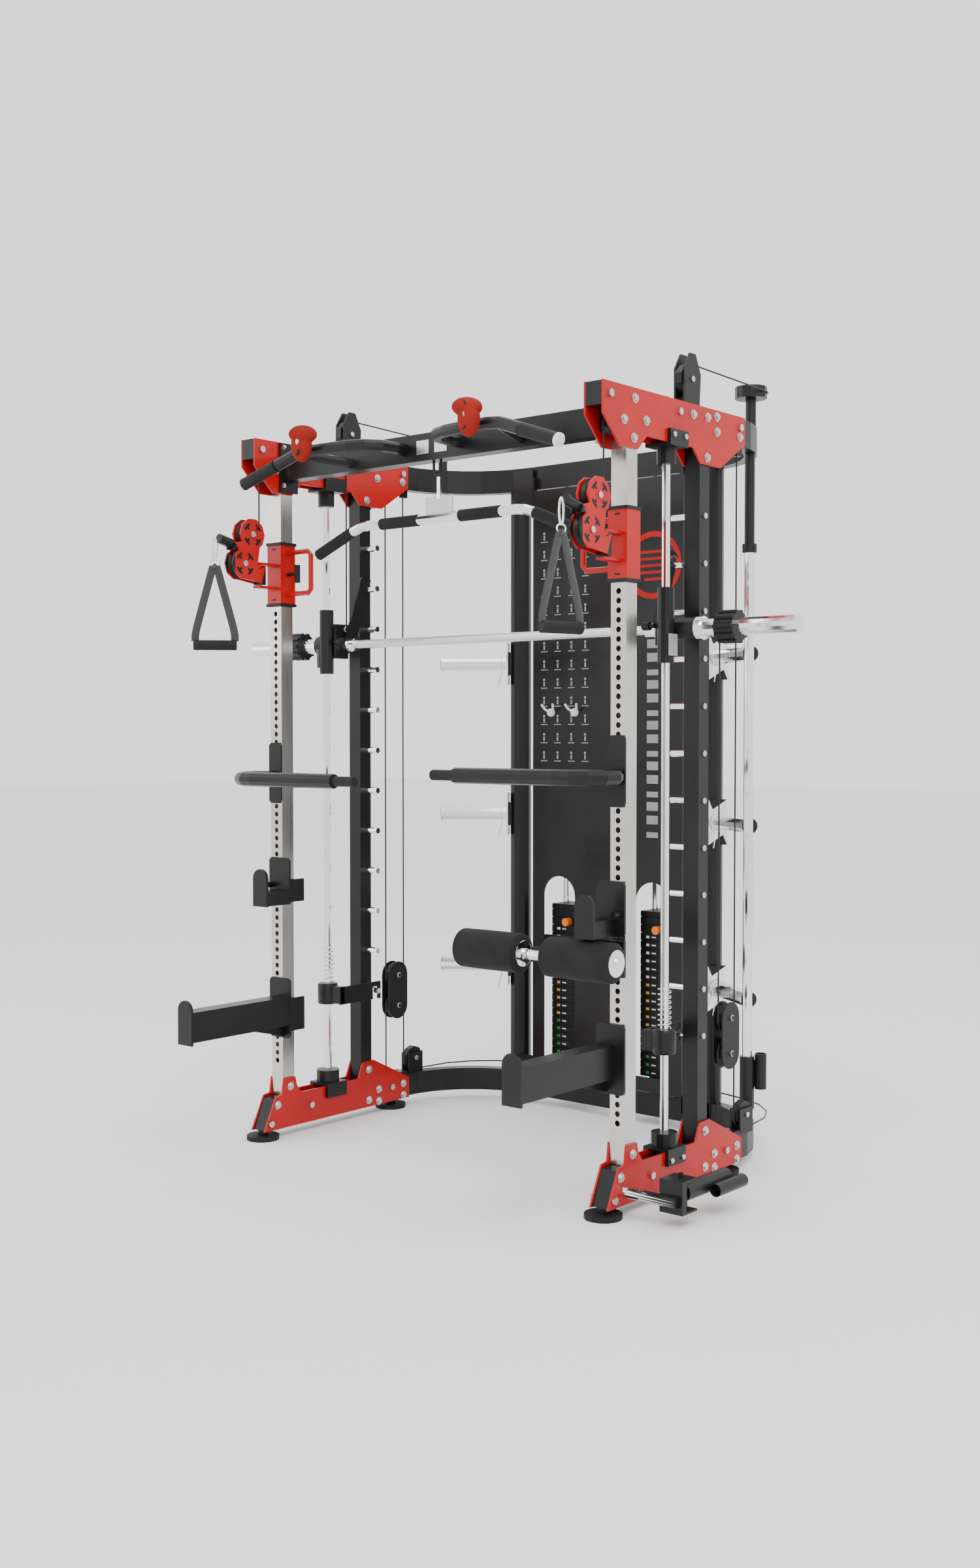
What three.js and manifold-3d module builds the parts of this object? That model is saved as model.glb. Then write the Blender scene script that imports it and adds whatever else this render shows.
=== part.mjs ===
// Smith machine with a cable crossover: two side frames joined by a front crossbeam and curved rear
// beams, a counterbalanced barbell on vertical rods, two weight stacks and adjustable pulley trolleys.
// Millimetres, +Z up, front towards -Y. The origin is on the floor, under the middle of the machine.
import * as THREE from 'three';
import Module from 'manifold-3d';
import { mergeVertices } from 'three/addons/utils/BufferGeometryUtils.js';

const wasm = await Module();
wasm.setup();

// ---- driving dimensions -------------------------------------------------------------------------
const GAP = 0.4;              // clearance left between neighbouring pieces
const SIDE_X = 665;           // mid-plane of each side frame, from the centre line
const TUBE = 25;              // half width of the 50 mm square uprights
const HOLE_PITCH = 25.4;      // spacing of the adjusting holes
const PLATE_IN = 25.4;         // side plates: distance of the inner and outer faces from the mid-plane
const PLATE_OUT = 31.4;
const FRONT_Y = -432;         // foremost and rearmost planes of the machine
const REAR_Y = 1012;
const ROD_Y = 200;            // guide rods, rear uprights and rear beam
const ROD_R = 12.5;
const REAR_UPRIGHT_Y = 355;
const PLATE_REAR_Y = 560;
const BEND_Y = 557;           // the rear beams bend inwards from here
const BEND_R = 316;
const BEAM_HALF = 20;
const BEAM_Y = BEND_Y + BEND_R;
const BEND_X = SIDE_X - BEND_R;
const LOW_BEAM = [30, 106];   // bottom and top of the rear beams
const HIGH_BEAM = [2120, 2199];
const RAIL_Z = 60;            // underside of the uprights
const UPRIGHT_TOP = 2122;
const TOP_RAIL = [2137, 2199];
const PLATE_FOOT_Z = 28;
const PEG_TOP_Z = 1898;
const PEG_PITCH = 133.8;
const PEG_COUNT = 12;
const PEG_R = 10;
const PEG_LENGTH = 57;
const BAR_Y = 248;
const BAR_Z = 1575.5;
const BAR_R = 14;
const SLEEVE_R = 25;
const BAR_END_X = 1053;
const HOOK_RELEASE = THREE.MathUtils.degToRad(11);   // how far the hooks are turned off their pegs
const PULLEY_R = 44;
const CABLE_R = 2.5;
const TROLLEY_Z = [1690, 1885];
const PIVOT_Y = -92;          // upright pin that each pulley arm swings on
const ARM_WHEELS = [[-138, 1903], [-170, 1811]];
const BLOCK_Y = 522;          // floating pulley blocks
const BLOCK_WHEELS = [455, 350];
const FRONT_WHEEL = [-62, 2097];
const FRONT_WHEEL_R = 32;
const REAR_WHEEL = [434, 2085];
const BASE_WHEEL = [610, 155];
const STACK_X = 185;
const STACK_FRONT_Y = 885;
const STACK_DEPTH = 100;
const STACK_HALF = 75;
const STACK_ROD_DX = 50;
const STACK_AXIS_Y = 935;
const STACK_FOOT_Z = 151;
const STACK_PITCH = 26.5;
const STACK_PLATE = 25;
const STACK_FIXED = 18;       // plates that stay down with the pin in the second plate
const SHELF_TOP_Z = 108;
const STACK_WHEEL = [970, 2160];
const STACK_WHEEL_R = 35;
const PANEL_Y = 834;
const SLOT_X = 190;          // openings in the panel in front of each stack
const SLOT_HALF = 66;
const SLOT_Z = [160, 734];
const POST_X = 390;
const POST_R = 36;
const HORN_Z = [1527, 1005, 477];
const HORN_TURN = 33;             // the storage horns point outwards and forwards
const BAR_POST = [635.6, 690];
const DIP_Z = 1157;           // the right dip bar sits one hole higher
const ACCESSORY_X = 35;       // jaws and arms sit this far inwards of the upright's mid-plane

const paint = {
  red: new THREE.MeshStandardMaterial({ color: 0xd3110d, roughness: 0.35, metalness: 0.1 }),
  black: new THREE.MeshStandardMaterial({ color: 0x141416, roughness: 0.45, metalness: 0.2 }),
  steel: new THREE.MeshStandardMaterial({ color: 0xd9d6cf, roughness: 0.3, metalness: 0.9 }),
  chrome: new THREE.MeshStandardMaterial({ color: 0xe4e4e6, roughness: 0.12, metalness: 1 }),
  rubber: new THREE.MeshStandardMaterial({ color: 0x17171a, roughness: 0.85, metalness: 0 }),
  nylon: new THREE.MeshStandardMaterial({ color: 0x111113, roughness: 0.6, metalness: 0 }),
  hold: new THREE.MeshStandardMaterial({ color: 0xc92e14, roughness: 0.8, metalness: 0 }),
  orange: new THREE.MeshStandardMaterial({ color: 0xf07d10, roughness: 0.5, metalness: 0 }),
  iron: new THREE.MeshStandardMaterial({ color: 0x1c1c1e, roughness: 0.6, metalness: 0.4 }),
};

// ---- solids -------------------------------------------------------------------------------------
function solid(geometry) {
  const bare = geometry.clone();
  bare.deleteAttribute('normal');
  bare.deleteAttribute('uv');
  const merged = mergeVertices(bare, 1e-3);
  const corners = merged.index.array;
  const faces = [];
  for (let i = 0; i < corners.length; i += 3) {
    const [a, b, c] = [corners[i], corners[i + 1], corners[i + 2]];
    if (a !== b && b !== c && c !== a) faces.push(a, b, c);
  }
  const vertProperties = Float32Array.from(merged.attributes.position.array);
  const mesh = new wasm.Mesh({ numProp: 3, vertProperties, triVerts: Uint32Array.from(faces) });
  return new wasm.Manifold(mesh);
}

function join(...solids) {
  return solids.flat().reduce((sum, next) => sum.add(next));
}

function cut(body, ...tools) {
  return tools.flat().reduce((left, tool) => left.subtract(tool), body);
}

function box([x0, x1], [y0, y1], [z0, z1]) {
  const geometry = new THREE.BoxGeometry(Math.abs(x1 - x0), Math.abs(y1 - y0), Math.abs(z1 - z0));
  return solid(geometry.translate((x0 + x1) / 2, (y0 + y1) / 2, (z0 + z1) / 2));
}

// A round bar along one axis, from one end to the other, at the two other coordinates.
function bar(axis, radius, [from, to], [a, b], sides = 10) {
  const geometry = new THREE.CylinderGeometry(radius, radius, Math.abs(to - from), sides);
  const middle = (from + to) / 2;
  if (axis === 'x') geometry.rotateZ(Math.PI / 2).translate(middle, a, b);
  if (axis === 'y') geometry.translate(a, middle, b);
  if (axis === 'z') geometry.rotateX(Math.PI / 2).translate(a, b, middle);
  return solid(geometry);
}

// A flat plate in the YZ plane, from x0 to x1.
function sidePlate(shape, [x0, x1]) {
  const options = { depth: Math.abs(x1 - x0), bevelEnabled: false, curveSegments: 5 };
  const turn = new THREE.Matrix4().makeBasis(
    new THREE.Vector3(0, 1, 0), new THREE.Vector3(0, 0, 1), new THREE.Vector3(1, 0, 0));
  const geometry = new THREE.ExtrudeGeometry(shape, options).applyMatrix4(turn);
  return solid(geometry.translate(Math.min(x0, x1), 0, 0));
}

// A flat plate in the XZ plane, from y0 to y1.
function frontPlate(shape, [y0, y1]) {
  const options = { depth: y1 - y0, bevelEnabled: false, curveSegments: 4 };
  return solid(new THREE.ExtrudeGeometry(shape, options).rotateX(Math.PI / 2).translate(0, y1, 0));
}

// An upright tongue with a round top, centred on x.
function tongue(x, halfWidth, [low, high]) {
  const shape = new THREE.Shape();
  shape.moveTo(x - halfWidth, low);
  shape.lineTo(x + halfWidth, low);
  shape.absarc(x, high - halfWidth, halfWidth, 0, Math.PI, false);
  return shape;
}

// A rectangle whose four corners are cut off.
function clipped([x0, x1], [z0, z1], corner) {
  const [a, b] = [Math.min(x0, x1), Math.max(x0, x1)];
  return outline([
    [a + corner, z0], [b - corner, z0], [b, z0 + corner], [b, z1 - corner],
    [b - corner, z1], [a + corner, z1], [a, z1 - corner], [a, z0 + corner],
  ]);
}

function outline(points) {
  return new THREE.Shape(points.map(([a, b]) => new THREE.Vector2(a, b)));
}

// A flat slab in the XY plane, from z0 to z1.
function slab(shape, [z0, z1], curveSegments = 12) {
  const geometry = new THREE.ExtrudeGeometry(shape, { depth: z1 - z0, bevelEnabled: false, curveSegments });
  return solid(geometry.translate(0, 0, z0));
}

// A route that goes through its points one step at a time.
class Route extends THREE.Curve {
  constructor(points) {
    super();
    this.points = points.map((p) => new THREE.Vector3(...p));
  }

  getPoint(t) {
    const place = t * (this.points.length - 1);
    const start = Math.min(Math.floor(place), this.points.length - 2);
    return this.points[start].clone().lerp(this.points[start + 1], place - start);
  }

  getPointAt(u) {
    return this.getPoint(u);
  }

  getSpacedPoints() {
    return this.points;
  }

  getTangentAt(u) {
    const i = Math.round(u * (this.points.length - 1));
    const before = this.points[Math.max(i - 1, 0)];
    const after = this.points[Math.min(i + 1, this.points.length - 1)];
    return after.clone().sub(before).normalize();
  }
}

function sweep(points, radius, sides = 8) {
  const section = new THREE.Shape();
  for (let i = 0; i < sides; i++) {
    const angle = (i / sides) * 2 * Math.PI;
    const place = [radius * Math.cos(angle), radius * Math.sin(angle)];
    if (i) section.lineTo(...place);
    else section.moveTo(...place);
  }
  const extrudePath = new Route(points);
  const steps = points.length - 1;
  return solid(new THREE.ExtrudeGeometry(section, { steps, extrudePath, bevelEnabled: false }));
}

// Points on a bend in the YZ plane at a given x: angles in degrees, 0 towards +Y and 90 towards +Z.
function bend(x, [y, z], radius, [start, end], count = 6) {
  return Array.from({ length: count + 1 }, (_, i) => {
    const angle = THREE.MathUtils.degToRad(start + ((end - start) * i) / count);
    return [x, y + radius * Math.cos(angle), z + radius * Math.sin(angle)];
  });
}

function addPart(group, name, body, material) {
  const { vertProperties, triVerts } = body.getMesh();
  const geometry = new THREE.BufferGeometry();
  geometry.setAttribute('position', new THREE.BufferAttribute(vertProperties, 3));
  geometry.setIndex(new THREE.BufferAttribute(triVerts, 1));
  geometry.computeVertexNormals();
  const mesh = new THREE.Mesh(geometry, material);
  mesh.name = name;
  group.add(mesh);
}

// ---- side plates, base and upper frame ----------------------------------------------------------
const BASE_OUTLINE = [
  [-110, 28], [-60, 132], [-33, 136], [-26, 187], [24, 185], [30, 158], [50, 131],
  [312, 131], [334, 182], [384, 184], [PLATE_REAR_Y, 98], [PLATE_REAR_Y, 28],
];
const TOP_OUTLINE = [
  [-139, 2200], [-139, 2115], [-65, 2040], [20, 2040], [60, 2079],
  [288, 2079], [327, 2040], [430, 2040], [PLATE_REAR_Y, 2122], [PLATE_REAR_Y, 2200],
];
const BASE_BOLTS = [[-84, 51], [91, 83], [471, 78]];
const TOP_BOLTS = [[-111, 2168], [215, 2168], [531, 2168]];
const BOLT_R = 6;
const BOLT_HEAD = 11;
const BOLT_HEAD_DEPTH = 8;

// Two plates with a gap between them, held by through-bolts with hexagon heads.
function plateCheeks(points, bolts) {
  const shape = outline(points);
  const spans = [[-PLATE_OUT, -PLATE_IN], [PLATE_IN, PLATE_OUT]];
  const parts = spans.map((span) => sidePlate(shape, span));
  const reach = PLATE_OUT + BOLT_HEAD_DEPTH;
  for (const place of bolts) {
    parts.push(bar('x', BOLT_R, [-PLATE_OUT, PLATE_OUT], place, 6));
    parts.push(bar('x', BOLT_HEAD, [-reach, -PLATE_OUT + 1], place, 6));
    parts.push(bar('x', BOLT_HEAD, [PLATE_OUT - 1, reach], place, 6));
  }
  return join(parts);
}

function boltHoles(places) {
  return places.map((place) => bar('x', BOLT_R + 1, [-PLATE_OUT, PLATE_OUT], place, 8));
}

// The curved corners and the straight run of one rear beam.
function rearBeam([low, high]) {
  const shape = new THREE.Shape();
  const outer = BEND_R + BEAM_HALF;
  const inner = BEND_R - BEAM_HALF;
  shape.absarc(BEND_X, BEND_Y, outer, 0, Math.PI / 2, false);
  shape.absarc(-BEND_X, BEND_Y, outer, Math.PI / 2, Math.PI, false);
  shape.absarc(-BEND_X, BEND_Y, inner, Math.PI, Math.PI / 2, true);
  shape.absarc(BEND_X, BEND_Y, inner, Math.PI / 2, 0, true);
  return slab(shape, [low, high], 4);
}

function wheel(x, [y, z], radius, halfWidth, sides = 10) {
  return bar('x', radius, [x - halfWidth, x + halfWidth], [y, z], sides);
}

function footDisc(x, y) {
  return [bar('z', 52, [0, 14], [x, y], 14), bar('z', 16, [13, PLATE_FOOT_Z + 4], [x, y], 10)];
}

const BASE_RAIL = [
  [-104, 30], [-62, 124], [-30, 128], [-30, RAIL_Z - GAP], [30, RAIL_Z - GAP], [30, 118],
  [PLATE_REAR_Y, 118], [PLATE_REAR_Y, 30],
];

function baseFrame() {
  const parts = [rearBeam(LOW_BEAM)];
  for (const s of [-1, 1]) {
    const x = s * SIDE_X;
    const rail = sidePlate(outline(BASE_RAIL), [-TUBE, TUBE]);
    parts.push(cut(rail, boltHoles(BASE_BOLTS)).translate(x, 0, 0));
    parts.push(...footDisc(x, -88), ...footDisc(x, 500), ...footDisc(s * POST_X, BEAM_Y));
    parts.push(wheel(x, BASE_WHEEL, PULLEY_R - CABLE_R - 1, 11));
    for (const side of [-1, 1]) {
      parts.push(box([x + side * 12, x + side * 18], [575, 645], [100, 175]));
    }
    parts.push(bar('x', 6, [x - 18, x + 18], BASE_WHEEL, 8));
    const left = s * STACK_X - 95;
    parts.push(box([left, left + 190], [BEAM_Y, REAR_Y], [96, SHELF_TOP_Z]));
    for (const side of [-1, 1]) {
      const rodX = s * STACK_X + side * STACK_ROD_DX;
      parts.push(bar('z', 10, [100, HIGH_BEAM[0] - 2], [rodX, STACK_AXIS_Y], 8));
      parts.push(bar('z', 19, [100, STACK_FOOT_Z - GAP], [rodX, STACK_AXIS_Y], 8));
    }
  }
  return join(parts);
}

// The upright bracket that carries the counterbalance pulley on top of a side frame.
function topPulleyBracket(x) {
  const sides = [-1, 1].map((side) => {
    const shape = outline([[262, 2190], [338, 2190], [345, 2290], [318, 2344], [290, 2344], [262, 2300]]);
    return sidePlate(shape, [x + side * 15 - 3, x + side * 15 + 3]);
  });
  return [...sides, wheel(x, [300, 2272], PULLEY_R + 2, 11), bar('x', 6, [x - 18, x + 18], [300, 2272], 8),
    box([x - 18, x + 18], [262, 338], [2190, 2205])];
}

function upperFrame() {
  const parts = [rearBeam(HIGH_BEAM)];
  for (const s of [-1, 1]) {
    const x = s * SIDE_X;
    const rail = cut(box([-TUBE, TUBE], [-139, PLATE_REAR_Y], TOP_RAIL), boltHoles(TOP_BOLTS));
    parts.push(rail.translate(x, 0, 0));
    for (const [centre, radius] of [[FRONT_WHEEL, FRONT_WHEEL_R], [REAR_WHEEL, PULLEY_R]]) {
      const [y, z] = centre;
      parts.push(wheel(x, centre, radius - CABLE_R - 1, 11), bar('x', 6, [x - 24, x + 24], centre, 8));
      for (const side of [-1, 1]) {
        const cheek = x + side * 21;
        parts.push(box([cheek - 3, cheek + 3], [y - 16, y + 16], [z - 16, TOP_RAIL[0] + 4]));
      }
    }
    parts.push(box([x - 8, x + 8], [PLATE_REAR_Y - 4, 582], [2094, 2150]));
    parts.push(...topPulleyBracket(x));
    const corner = [s * (BEND_X + BEND_R * Math.cos(0.55)), BEND_Y + BEND_R * Math.sin(0.55)];
    parts.push(bar('z', 16, [HIGH_BEAM[1] - 4, 2300], corner, 12));
    parts.push(bar('z', PULLEY_R + 4, [2290, 2325], corner, 12));
    for (const side of [-1, 1]) {
      const cheek = s * STACK_X + side * STACK_ROD_DX;
      parts.push(box([cheek - 8, cheek + 8], [BEAM_Y, REAR_Y], HIGH_BEAM));
    }
    const span = [s * STACK_X - STACK_ROD_DX, s * STACK_X + STACK_ROD_DX];
    parts.push(bar('x', 8, span, STACK_WHEEL, 8));
    parts.push(wheel(s * STACK_X, STACK_WHEEL, STACK_WHEEL_R - CABLE_R - 1, 11));
  }
  return join(parts);
}

// ---- uprights and rods --------------------------------------------------------------------------
function squareTube([y0, y1], [z0, z1], wall = 3) {
  const outer = box([-TUBE, TUBE], [y0, y1], [z0, z1]);
  return cut(outer, box([-TUBE + wall, TUBE - wall], [y0 + wall, y1 - wall], [z0 - 5, z1 + 5]));
}

function rearUpright(inward) {
  const face = inward * (TUBE - 2);
  const tip = inward * (TUBE + PEG_LENGTH);
  const pegs = Array.from({ length: PEG_COUNT }, (_, i) => {
    const z = PEG_TOP_Z - i * PEG_PITCH;
    return bar('x', PEG_R, [face, tip], [REAR_UPRIGHT_Y, z], 8);
  });
  const around = [REAR_UPRIGHT_Y - TUBE, REAR_UPRIGHT_Y + TUBE];
  return join(squareTube(around, [118 + GAP, 2120]), pegs);
}

// A saddle that straddles the side plates and holds one end of the guide rod.
function rodSocket([plateZ, cupZ], radius, reach) {
  const step = Math.sign(cupZ - plateZ);
  const edge = plateZ + step * GAP;
  const top = edge + step * 8;
  const low = plateZ - step * reach;
  const y = [158, 246];
  return [
    box([-42, 42], y, [Math.min(edge, top), Math.max(edge, top)]),
    box([-42, -PLATE_OUT - GAP], y, [Math.min(low, top), Math.max(low, top)]),
    box([PLATE_OUT + GAP, 42], y, [Math.min(low, top), Math.max(low, top)]),
    bar('z', radius, [edge, cupZ], [0, ROD_Y], 12),
  ];
}

function guideRod() {
  const rod = bar('z', ROD_R, [140, 2070], [0, ROD_Y], 12);
  return join(rod, rodSocket([131, 178], 38, 38), rodSocket([2079, 2024], 27, 36));
}

// ---- smith bar ----------------------------------------------------------------------------------
function carriage(inward) {
  const tube = bar('z', 23.5, [1480, 1688], [0, ROD_Y], 12);
  const hub = bar('x', 32, [inward * 38, -inward * 76], [BAR_Y, BAR_Z], 12);
  const web = box([inward * 28, inward * 38], [204, 262], [1530, 1642]);
  const bore = bar('z', ROD_R + 1.1, [1470, 1700], [0, ROD_Y], 12);
  const barBore = bar('x', BAR_R + 1.5, [inward * 60, -inward * 90], [BAR_Y, BAR_Z], 12);
  return cut(join(tube, hub, web), bore, barBore);
}

// A hook lever: hub on the bar, tapered arm, and a head whose mouth closes over a peg.
function barHook(s) {
  const reach = Math.hypot(REAR_UPRIGHT_Y - BAR_Y, PEG_TOP_Z - PEG_PITCH - BAR_Z);
  const engaged = Math.atan2(PEG_TOP_Z - PEG_PITCH - BAR_Z, REAR_UPRIGHT_Y - BAR_Y);
  const lever = outline([
    [0, -24], [30, -22], [reach - 20, -19], [reach - 12, -24], [reach - 11, -16], [reach - 12, 0],
    [reach - 8, 9], [reach, 12], [reach + 8, 9], [reach + 12, 0], [reach + 11, -22], [reach + 19, -22],
    [reach + 22, 0], [reach + 14, 18], [reach, 24], [reach - 20, 21], [30, 24], [0, 26],
    [-20, 14], [-24, 0], [-20, -14],
  ]);
  const plate = sidePlate(lever, [-4, 4]).rotate([THREE.MathUtils.radToDeg(engaged + HOOK_RELEASE), 0, 0]);
  return plate.translate(s * 606, BAR_Y, BAR_Z);
}

function smithBar() {
  const place = [BAR_Y, BAR_Z];
  const parts = [bar('x', BAR_R, [-770, 770], place, 12)];
  for (const s of [-1, 1]) {
    parts.push(bar('x', 33, [s * 742, s * 759], place, 14));
    parts.push(bar('x', SLEEVE_R, [s * 758, s * BAR_END_X], place, 14));
    parts.push(bar('x', 42, [s * 812, s * 872], place, 10));
    parts.push(bar('x', 22, [s * 572, s * 624], place, 12));
    parts.push(barHook(s));
  }
  return join(parts);
}

function safetyStop(inward) {
  const collar = bar('z', 33, [396, 464], [0, ROD_Y], 12);
  const spring = bar('z', 20, [460, 585], [0, ROD_Y], 12);
  const arm = box([inward * 20, inward * 70], [186, 210], [400, 458]);
  const hook = box([inward * 62, inward * 70], [190, 380], [398, 456]);
  const mouth = box([inward * 58, inward * 74], [REAR_UPRIGHT_Y - 12, REAR_UPRIGHT_Y + 12], [390, 438]);
  const bore = bar('z', ROD_R + 1.1, [380, 600], [0, ROD_Y], 12);
  return cut(join(collar, spring, arm, hook), mouth, bore);
}

// ---- accessories on the front uprights ----------------------------------------------------------
const FACE_Y = -TUBE - GAP;   // accessories bear on the front of the upright here

function dipBar(inward, z) {
  const bracket = frontPlate(clipped([-27, 27], [z - 93, z + 99], 9), [FACE_Y - 6, FACE_Y]);
  const out = (x, y) => [inward * x, y, z - 12];
  const route = [out(0, FACE_Y - 3), out(0, FACE_Y - 16), out(-18, -62), out(-34, -90), out(-30, -132),
    out(-4, -168), out(36, -188), out(80, -193), out(430, -193)];
  const tube = sweep(route, 22, 10);
  const tip = bar('x', 15, [inward * 425, inward * 512], [-193, z - 12], 10);
  return join(bracket, tube, tip);
}

function jHook(inward) {
  const middle = inward * ACCESSORY_X;
  const near = middle - inward * 62;
  const far = middle + inward * 30;
  const parts = [
    frontPlate(clipped([near, far], [744, 892], 9), [FACE_Y - 7, FACE_Y]),
    box([middle - 30, middle + 30], [-124, FACE_Y], [746, 790]),
    frontPlate(tongue(middle, 31, [744, 862]), [-130, -120]),
    box([inward * (TUBE + GAP), inward * (TUBE + 9)], [FACE_Y - 7, 62], [748, 820]),
    bar('y', 9, [FACE_Y - 36, FACE_Y - 2], [-inward * 10, 805], 10),
  ];
  return join(parts);
}

function safetyArm(inward) {
  const middle = inward * ACCESSORY_X;
  const near = middle - inward * 62;
  const far = middle + inward * 30;
  const gusset = sidePlate(outline([[-200, 366], [FACE_Y, 366], [FACE_Y, 322]]), [middle - 4, middle + 4]);
  const lip = frontPlate(tongue(middle, 31, [352, 487]), [FRONT_Y, FRONT_Y + 8]);
  return join(
    frontPlate(clipped([near, far], [319, 509], 9), [FACE_Y - 7, FACE_Y]),
    box([middle - 29, middle + 29], [FRONT_Y + 4, FACE_Y - 2], [361, 452]),
    box([inward * (TUBE + GAP), inward * (TUBE + 9)], [FACE_Y - 7, 62], [335, 440]),
    gusset, lip);
}

const ROLLER_Y = -104;
const ROLLER_Z = 684;
const ROLLERS = [[182, 409], [486, 720]];
const ROLLER_BAR_R = 15;

function rollerBracket() {
  const parts = [
    box([425, SIDE_X + 27], [FACE_Y - 10, FACE_Y], [636, 732]),
    box([432, 463], [ROLLER_Y, FACE_Y - 2], [664, 704]),
    bar('x', ROLLER_BAR_R, [176, 726], [ROLLER_Y, ROLLER_Z], 12),
  ];
  return join(parts);
}

function foamRoller([from, to]) {
  const place = [ROLLER_Y, ROLLER_Z];
  const foam = bar('x', 55, [from + 3, to - 3], place, 14);
  return cut(foam, bar('x', ROLLER_BAR_R + 1.5, [from - 5, to + 5], place, 12));
}

// ---- crossbeam ----------------------------------------------------------------------------------
function crossbeam() {
  const parts = [box([-627, 627], [-TUBE, TUBE], [2080, 2160])];
  for (const s of [-1, 1]) {
    const endX = SIDE_X - PLATE_OUT - GAP;
    parts.push(box([s * (endX - 8), s * endX], [-38, 36], [2044, 2198]));
    const at = (x, y, z = 2120) => [s * x, y, z];
    parts.push(sweep([at(112, -15), at(106, -70), at(112, -120), at(140, -158), at(190, -178),
      at(250, -186), at(350, -190), at(392, -192, 2116), at(430, -194, 2104), at(606, -210, 2044)], 18, 10));
    parts.push(sweep([at(384, -186, 2116), at(330, -15, 2104)], 15, 8));
  }
  parts.push(sweep([[-14, 0, 2090], [-14, 0, 2058], [-9, 0, 2046], [0, 0, 2041], [9, 0, 2046],
    [14, 0, 2058], [14, 0, 2090]], 4, 8));
  return cut(join(parts), box([-640, 640], [-TUBE + 3, TUBE - 3], [2083, 2157]));
}

// A moulded hold: a broad brow above a narrower chin, leaning outwards.
function climbingHold(s) {
  const lump = (size, lean, [dx, dz]) => {
    const blob = new THREE.SphereGeometry(1, 12, 8).scale(...size).rotateY(s * lean);
    return solid(blob.translate(s * (321 + dx), -236, 2138 + dz));
  };
  return join(lump([48, 25, 30], 0.35, [-2, 24]), lump([33, 22, 52], 0.15, [4, -8]));
}

function latBar() {
  const z = 1915;
  const ends = [[-506, 8, 1840], [-350, 8, 1903], [-322, 8, 1912], [-290, 8, z], [290, 8, z],
    [322, 8, 1912], [350, 8, 1903], [506, 8, 1840]];
  const hanger = box([-52, 52], [5, 11], [z, 1978]);
  const link = box([-6, 6], [4, 12], [1970, 2034]);
  return join(sweep(ends, 15, 10), hanger, link);
}

// ---- trolley, pulley arm and handle -------------------------------------------------------------
const SLEEVE_HALF = 31;
const ARM_HALF = 20;

function trolley(inward) {
  const shell = cut(
    box([-SLEEVE_HALF, SLEEVE_HALF], [-SLEEVE_HALF, SLEEVE_HALF], TROLLEY_Z),
    box([-TUBE - 1, TUBE + 1], [-TUBE - 1, TUBE + 1], [TROLLEY_Z[0] - 5, TROLLEY_Z[1] + 5]));
  const lugs = [1740, 1812].map((z) => box([-15, 15], [PIVOT_Y - 14, 2 - SLEEVE_HALF], [z, z + 8]));
  const side = inward * (SLEEVE_HALF - 2);
  const grip = inward * (SLEEVE_HALF + 104);
  const loop = sweep([[side, 0, 1856], [grip - inward * 12, 0, 1856], [grip, 0, 1844], [grip, 0, 1738],
    [grip - inward * 12, 0, 1726], [side, 0, 1726]], 8, 8);
  const pinHole = bar('x', 6.5, [inward * 20, inward * 45], [0, 1788], 10);
  return cut(join(shell, lugs, loop), pinHole);
}

function pullPin(inward) {
  const shank = bar('x', 5, [inward * (TUBE + 1.5), inward * 70], [0, 1788], 10);
  return join(shank, bar('z', 9, [1760, 1816], [inward * 74, 0], 10));
}

function lobe([y, z], radius) {
  const shape = new THREE.Shape();
  shape.absarc(y, z, radius, 0, 2 * Math.PI, false);
  return shape;
}

function pulleyArm() {
  const [upper, lower] = ARM_WHEELS;
  const parts = [];
  for (const side of [-1, 1]) {
    const span = [side * 14, side * ARM_HALF];
    parts.push(sidePlate(lobe(upper, 50), span), sidePlate(lobe(lower, 50), span));
    parts.push(sidePlate(outline([[-160, 1880], [-190, 1835], [-120, 1795], [-104, 1895]]), span));
    parts.push(sidePlate(outline([[-150, 1852], [-150, 1886], [-212, 1872], [-212, 1852]]), span));
    const root = PIVOT_Y + 8;
    parts.push(sidePlate(outline([[-190, 1766], [root, 1752], [root, 1808], [-150, 1820]]), span));
  }
  parts.push(box([-ARM_HALF, ARM_HALF], [PIVOT_Y - 8, PIVOT_Y + 8], [1750, 1810]));
  for (const place of ARM_WHEELS) parts.push(bar('x', 5, [-ARM_HALF, ARM_HALF], place, 8));
  parts.push(bar('x', 5, [-ARM_HALF, ARM_HALF], [-206, 1862], 8));
  parts.push(box([-17, 17], [-204, -196], [1852, 1868]));
  const stop = solid(new THREE.CylinderGeometry(15, 15, 58, 12));
  parts.push(stop.rotate([-14, 0, 0]).translate(0, -231, 1875));
  return join(parts);
}

function armWheel([y, z]) {
  const half = 11;
  const groove = 7;
  const profile = [[7, -half], [PULLEY_R, -half], [PULLEY_R, -6], [PULLEY_R - groove, -2],
    [PULLEY_R - groove, 2], [PULLEY_R, 6], [PULLEY_R, half], [7, half], [7, -half]];
  const geometry = new THREE.LatheGeometry(profile.map(([r, h]) => new THREE.Vector2(r, h)), 12);
  return solid(geometry.rotateZ(Math.PI / 2).translate(0, y, z));
}

const HANDLE_Y = -275;
const GRIP_Z = 1555;

// A strap handle: link, ring, two straps and a round grip, turned about the upright line it hangs on.
function strapHandle(turn) {
  const strap = (side) => sweep([[0, 0, 1806], [side * 6, 0, 1780], [side * 56, 0, 1600],
    [side * 60, 0, GRIP_Z]], 9, 8);
  const grip = bar('x', 16, [-66, 66], [0, GRIP_Z], 12);
  const link = box([-6, 6], [-5, 5], [1800, 1881]);
  return join(strap(-1), strap(1), grip, link).rotate([0, 0, turn]).translate(0, HANDLE_Y, 0);
}

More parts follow.
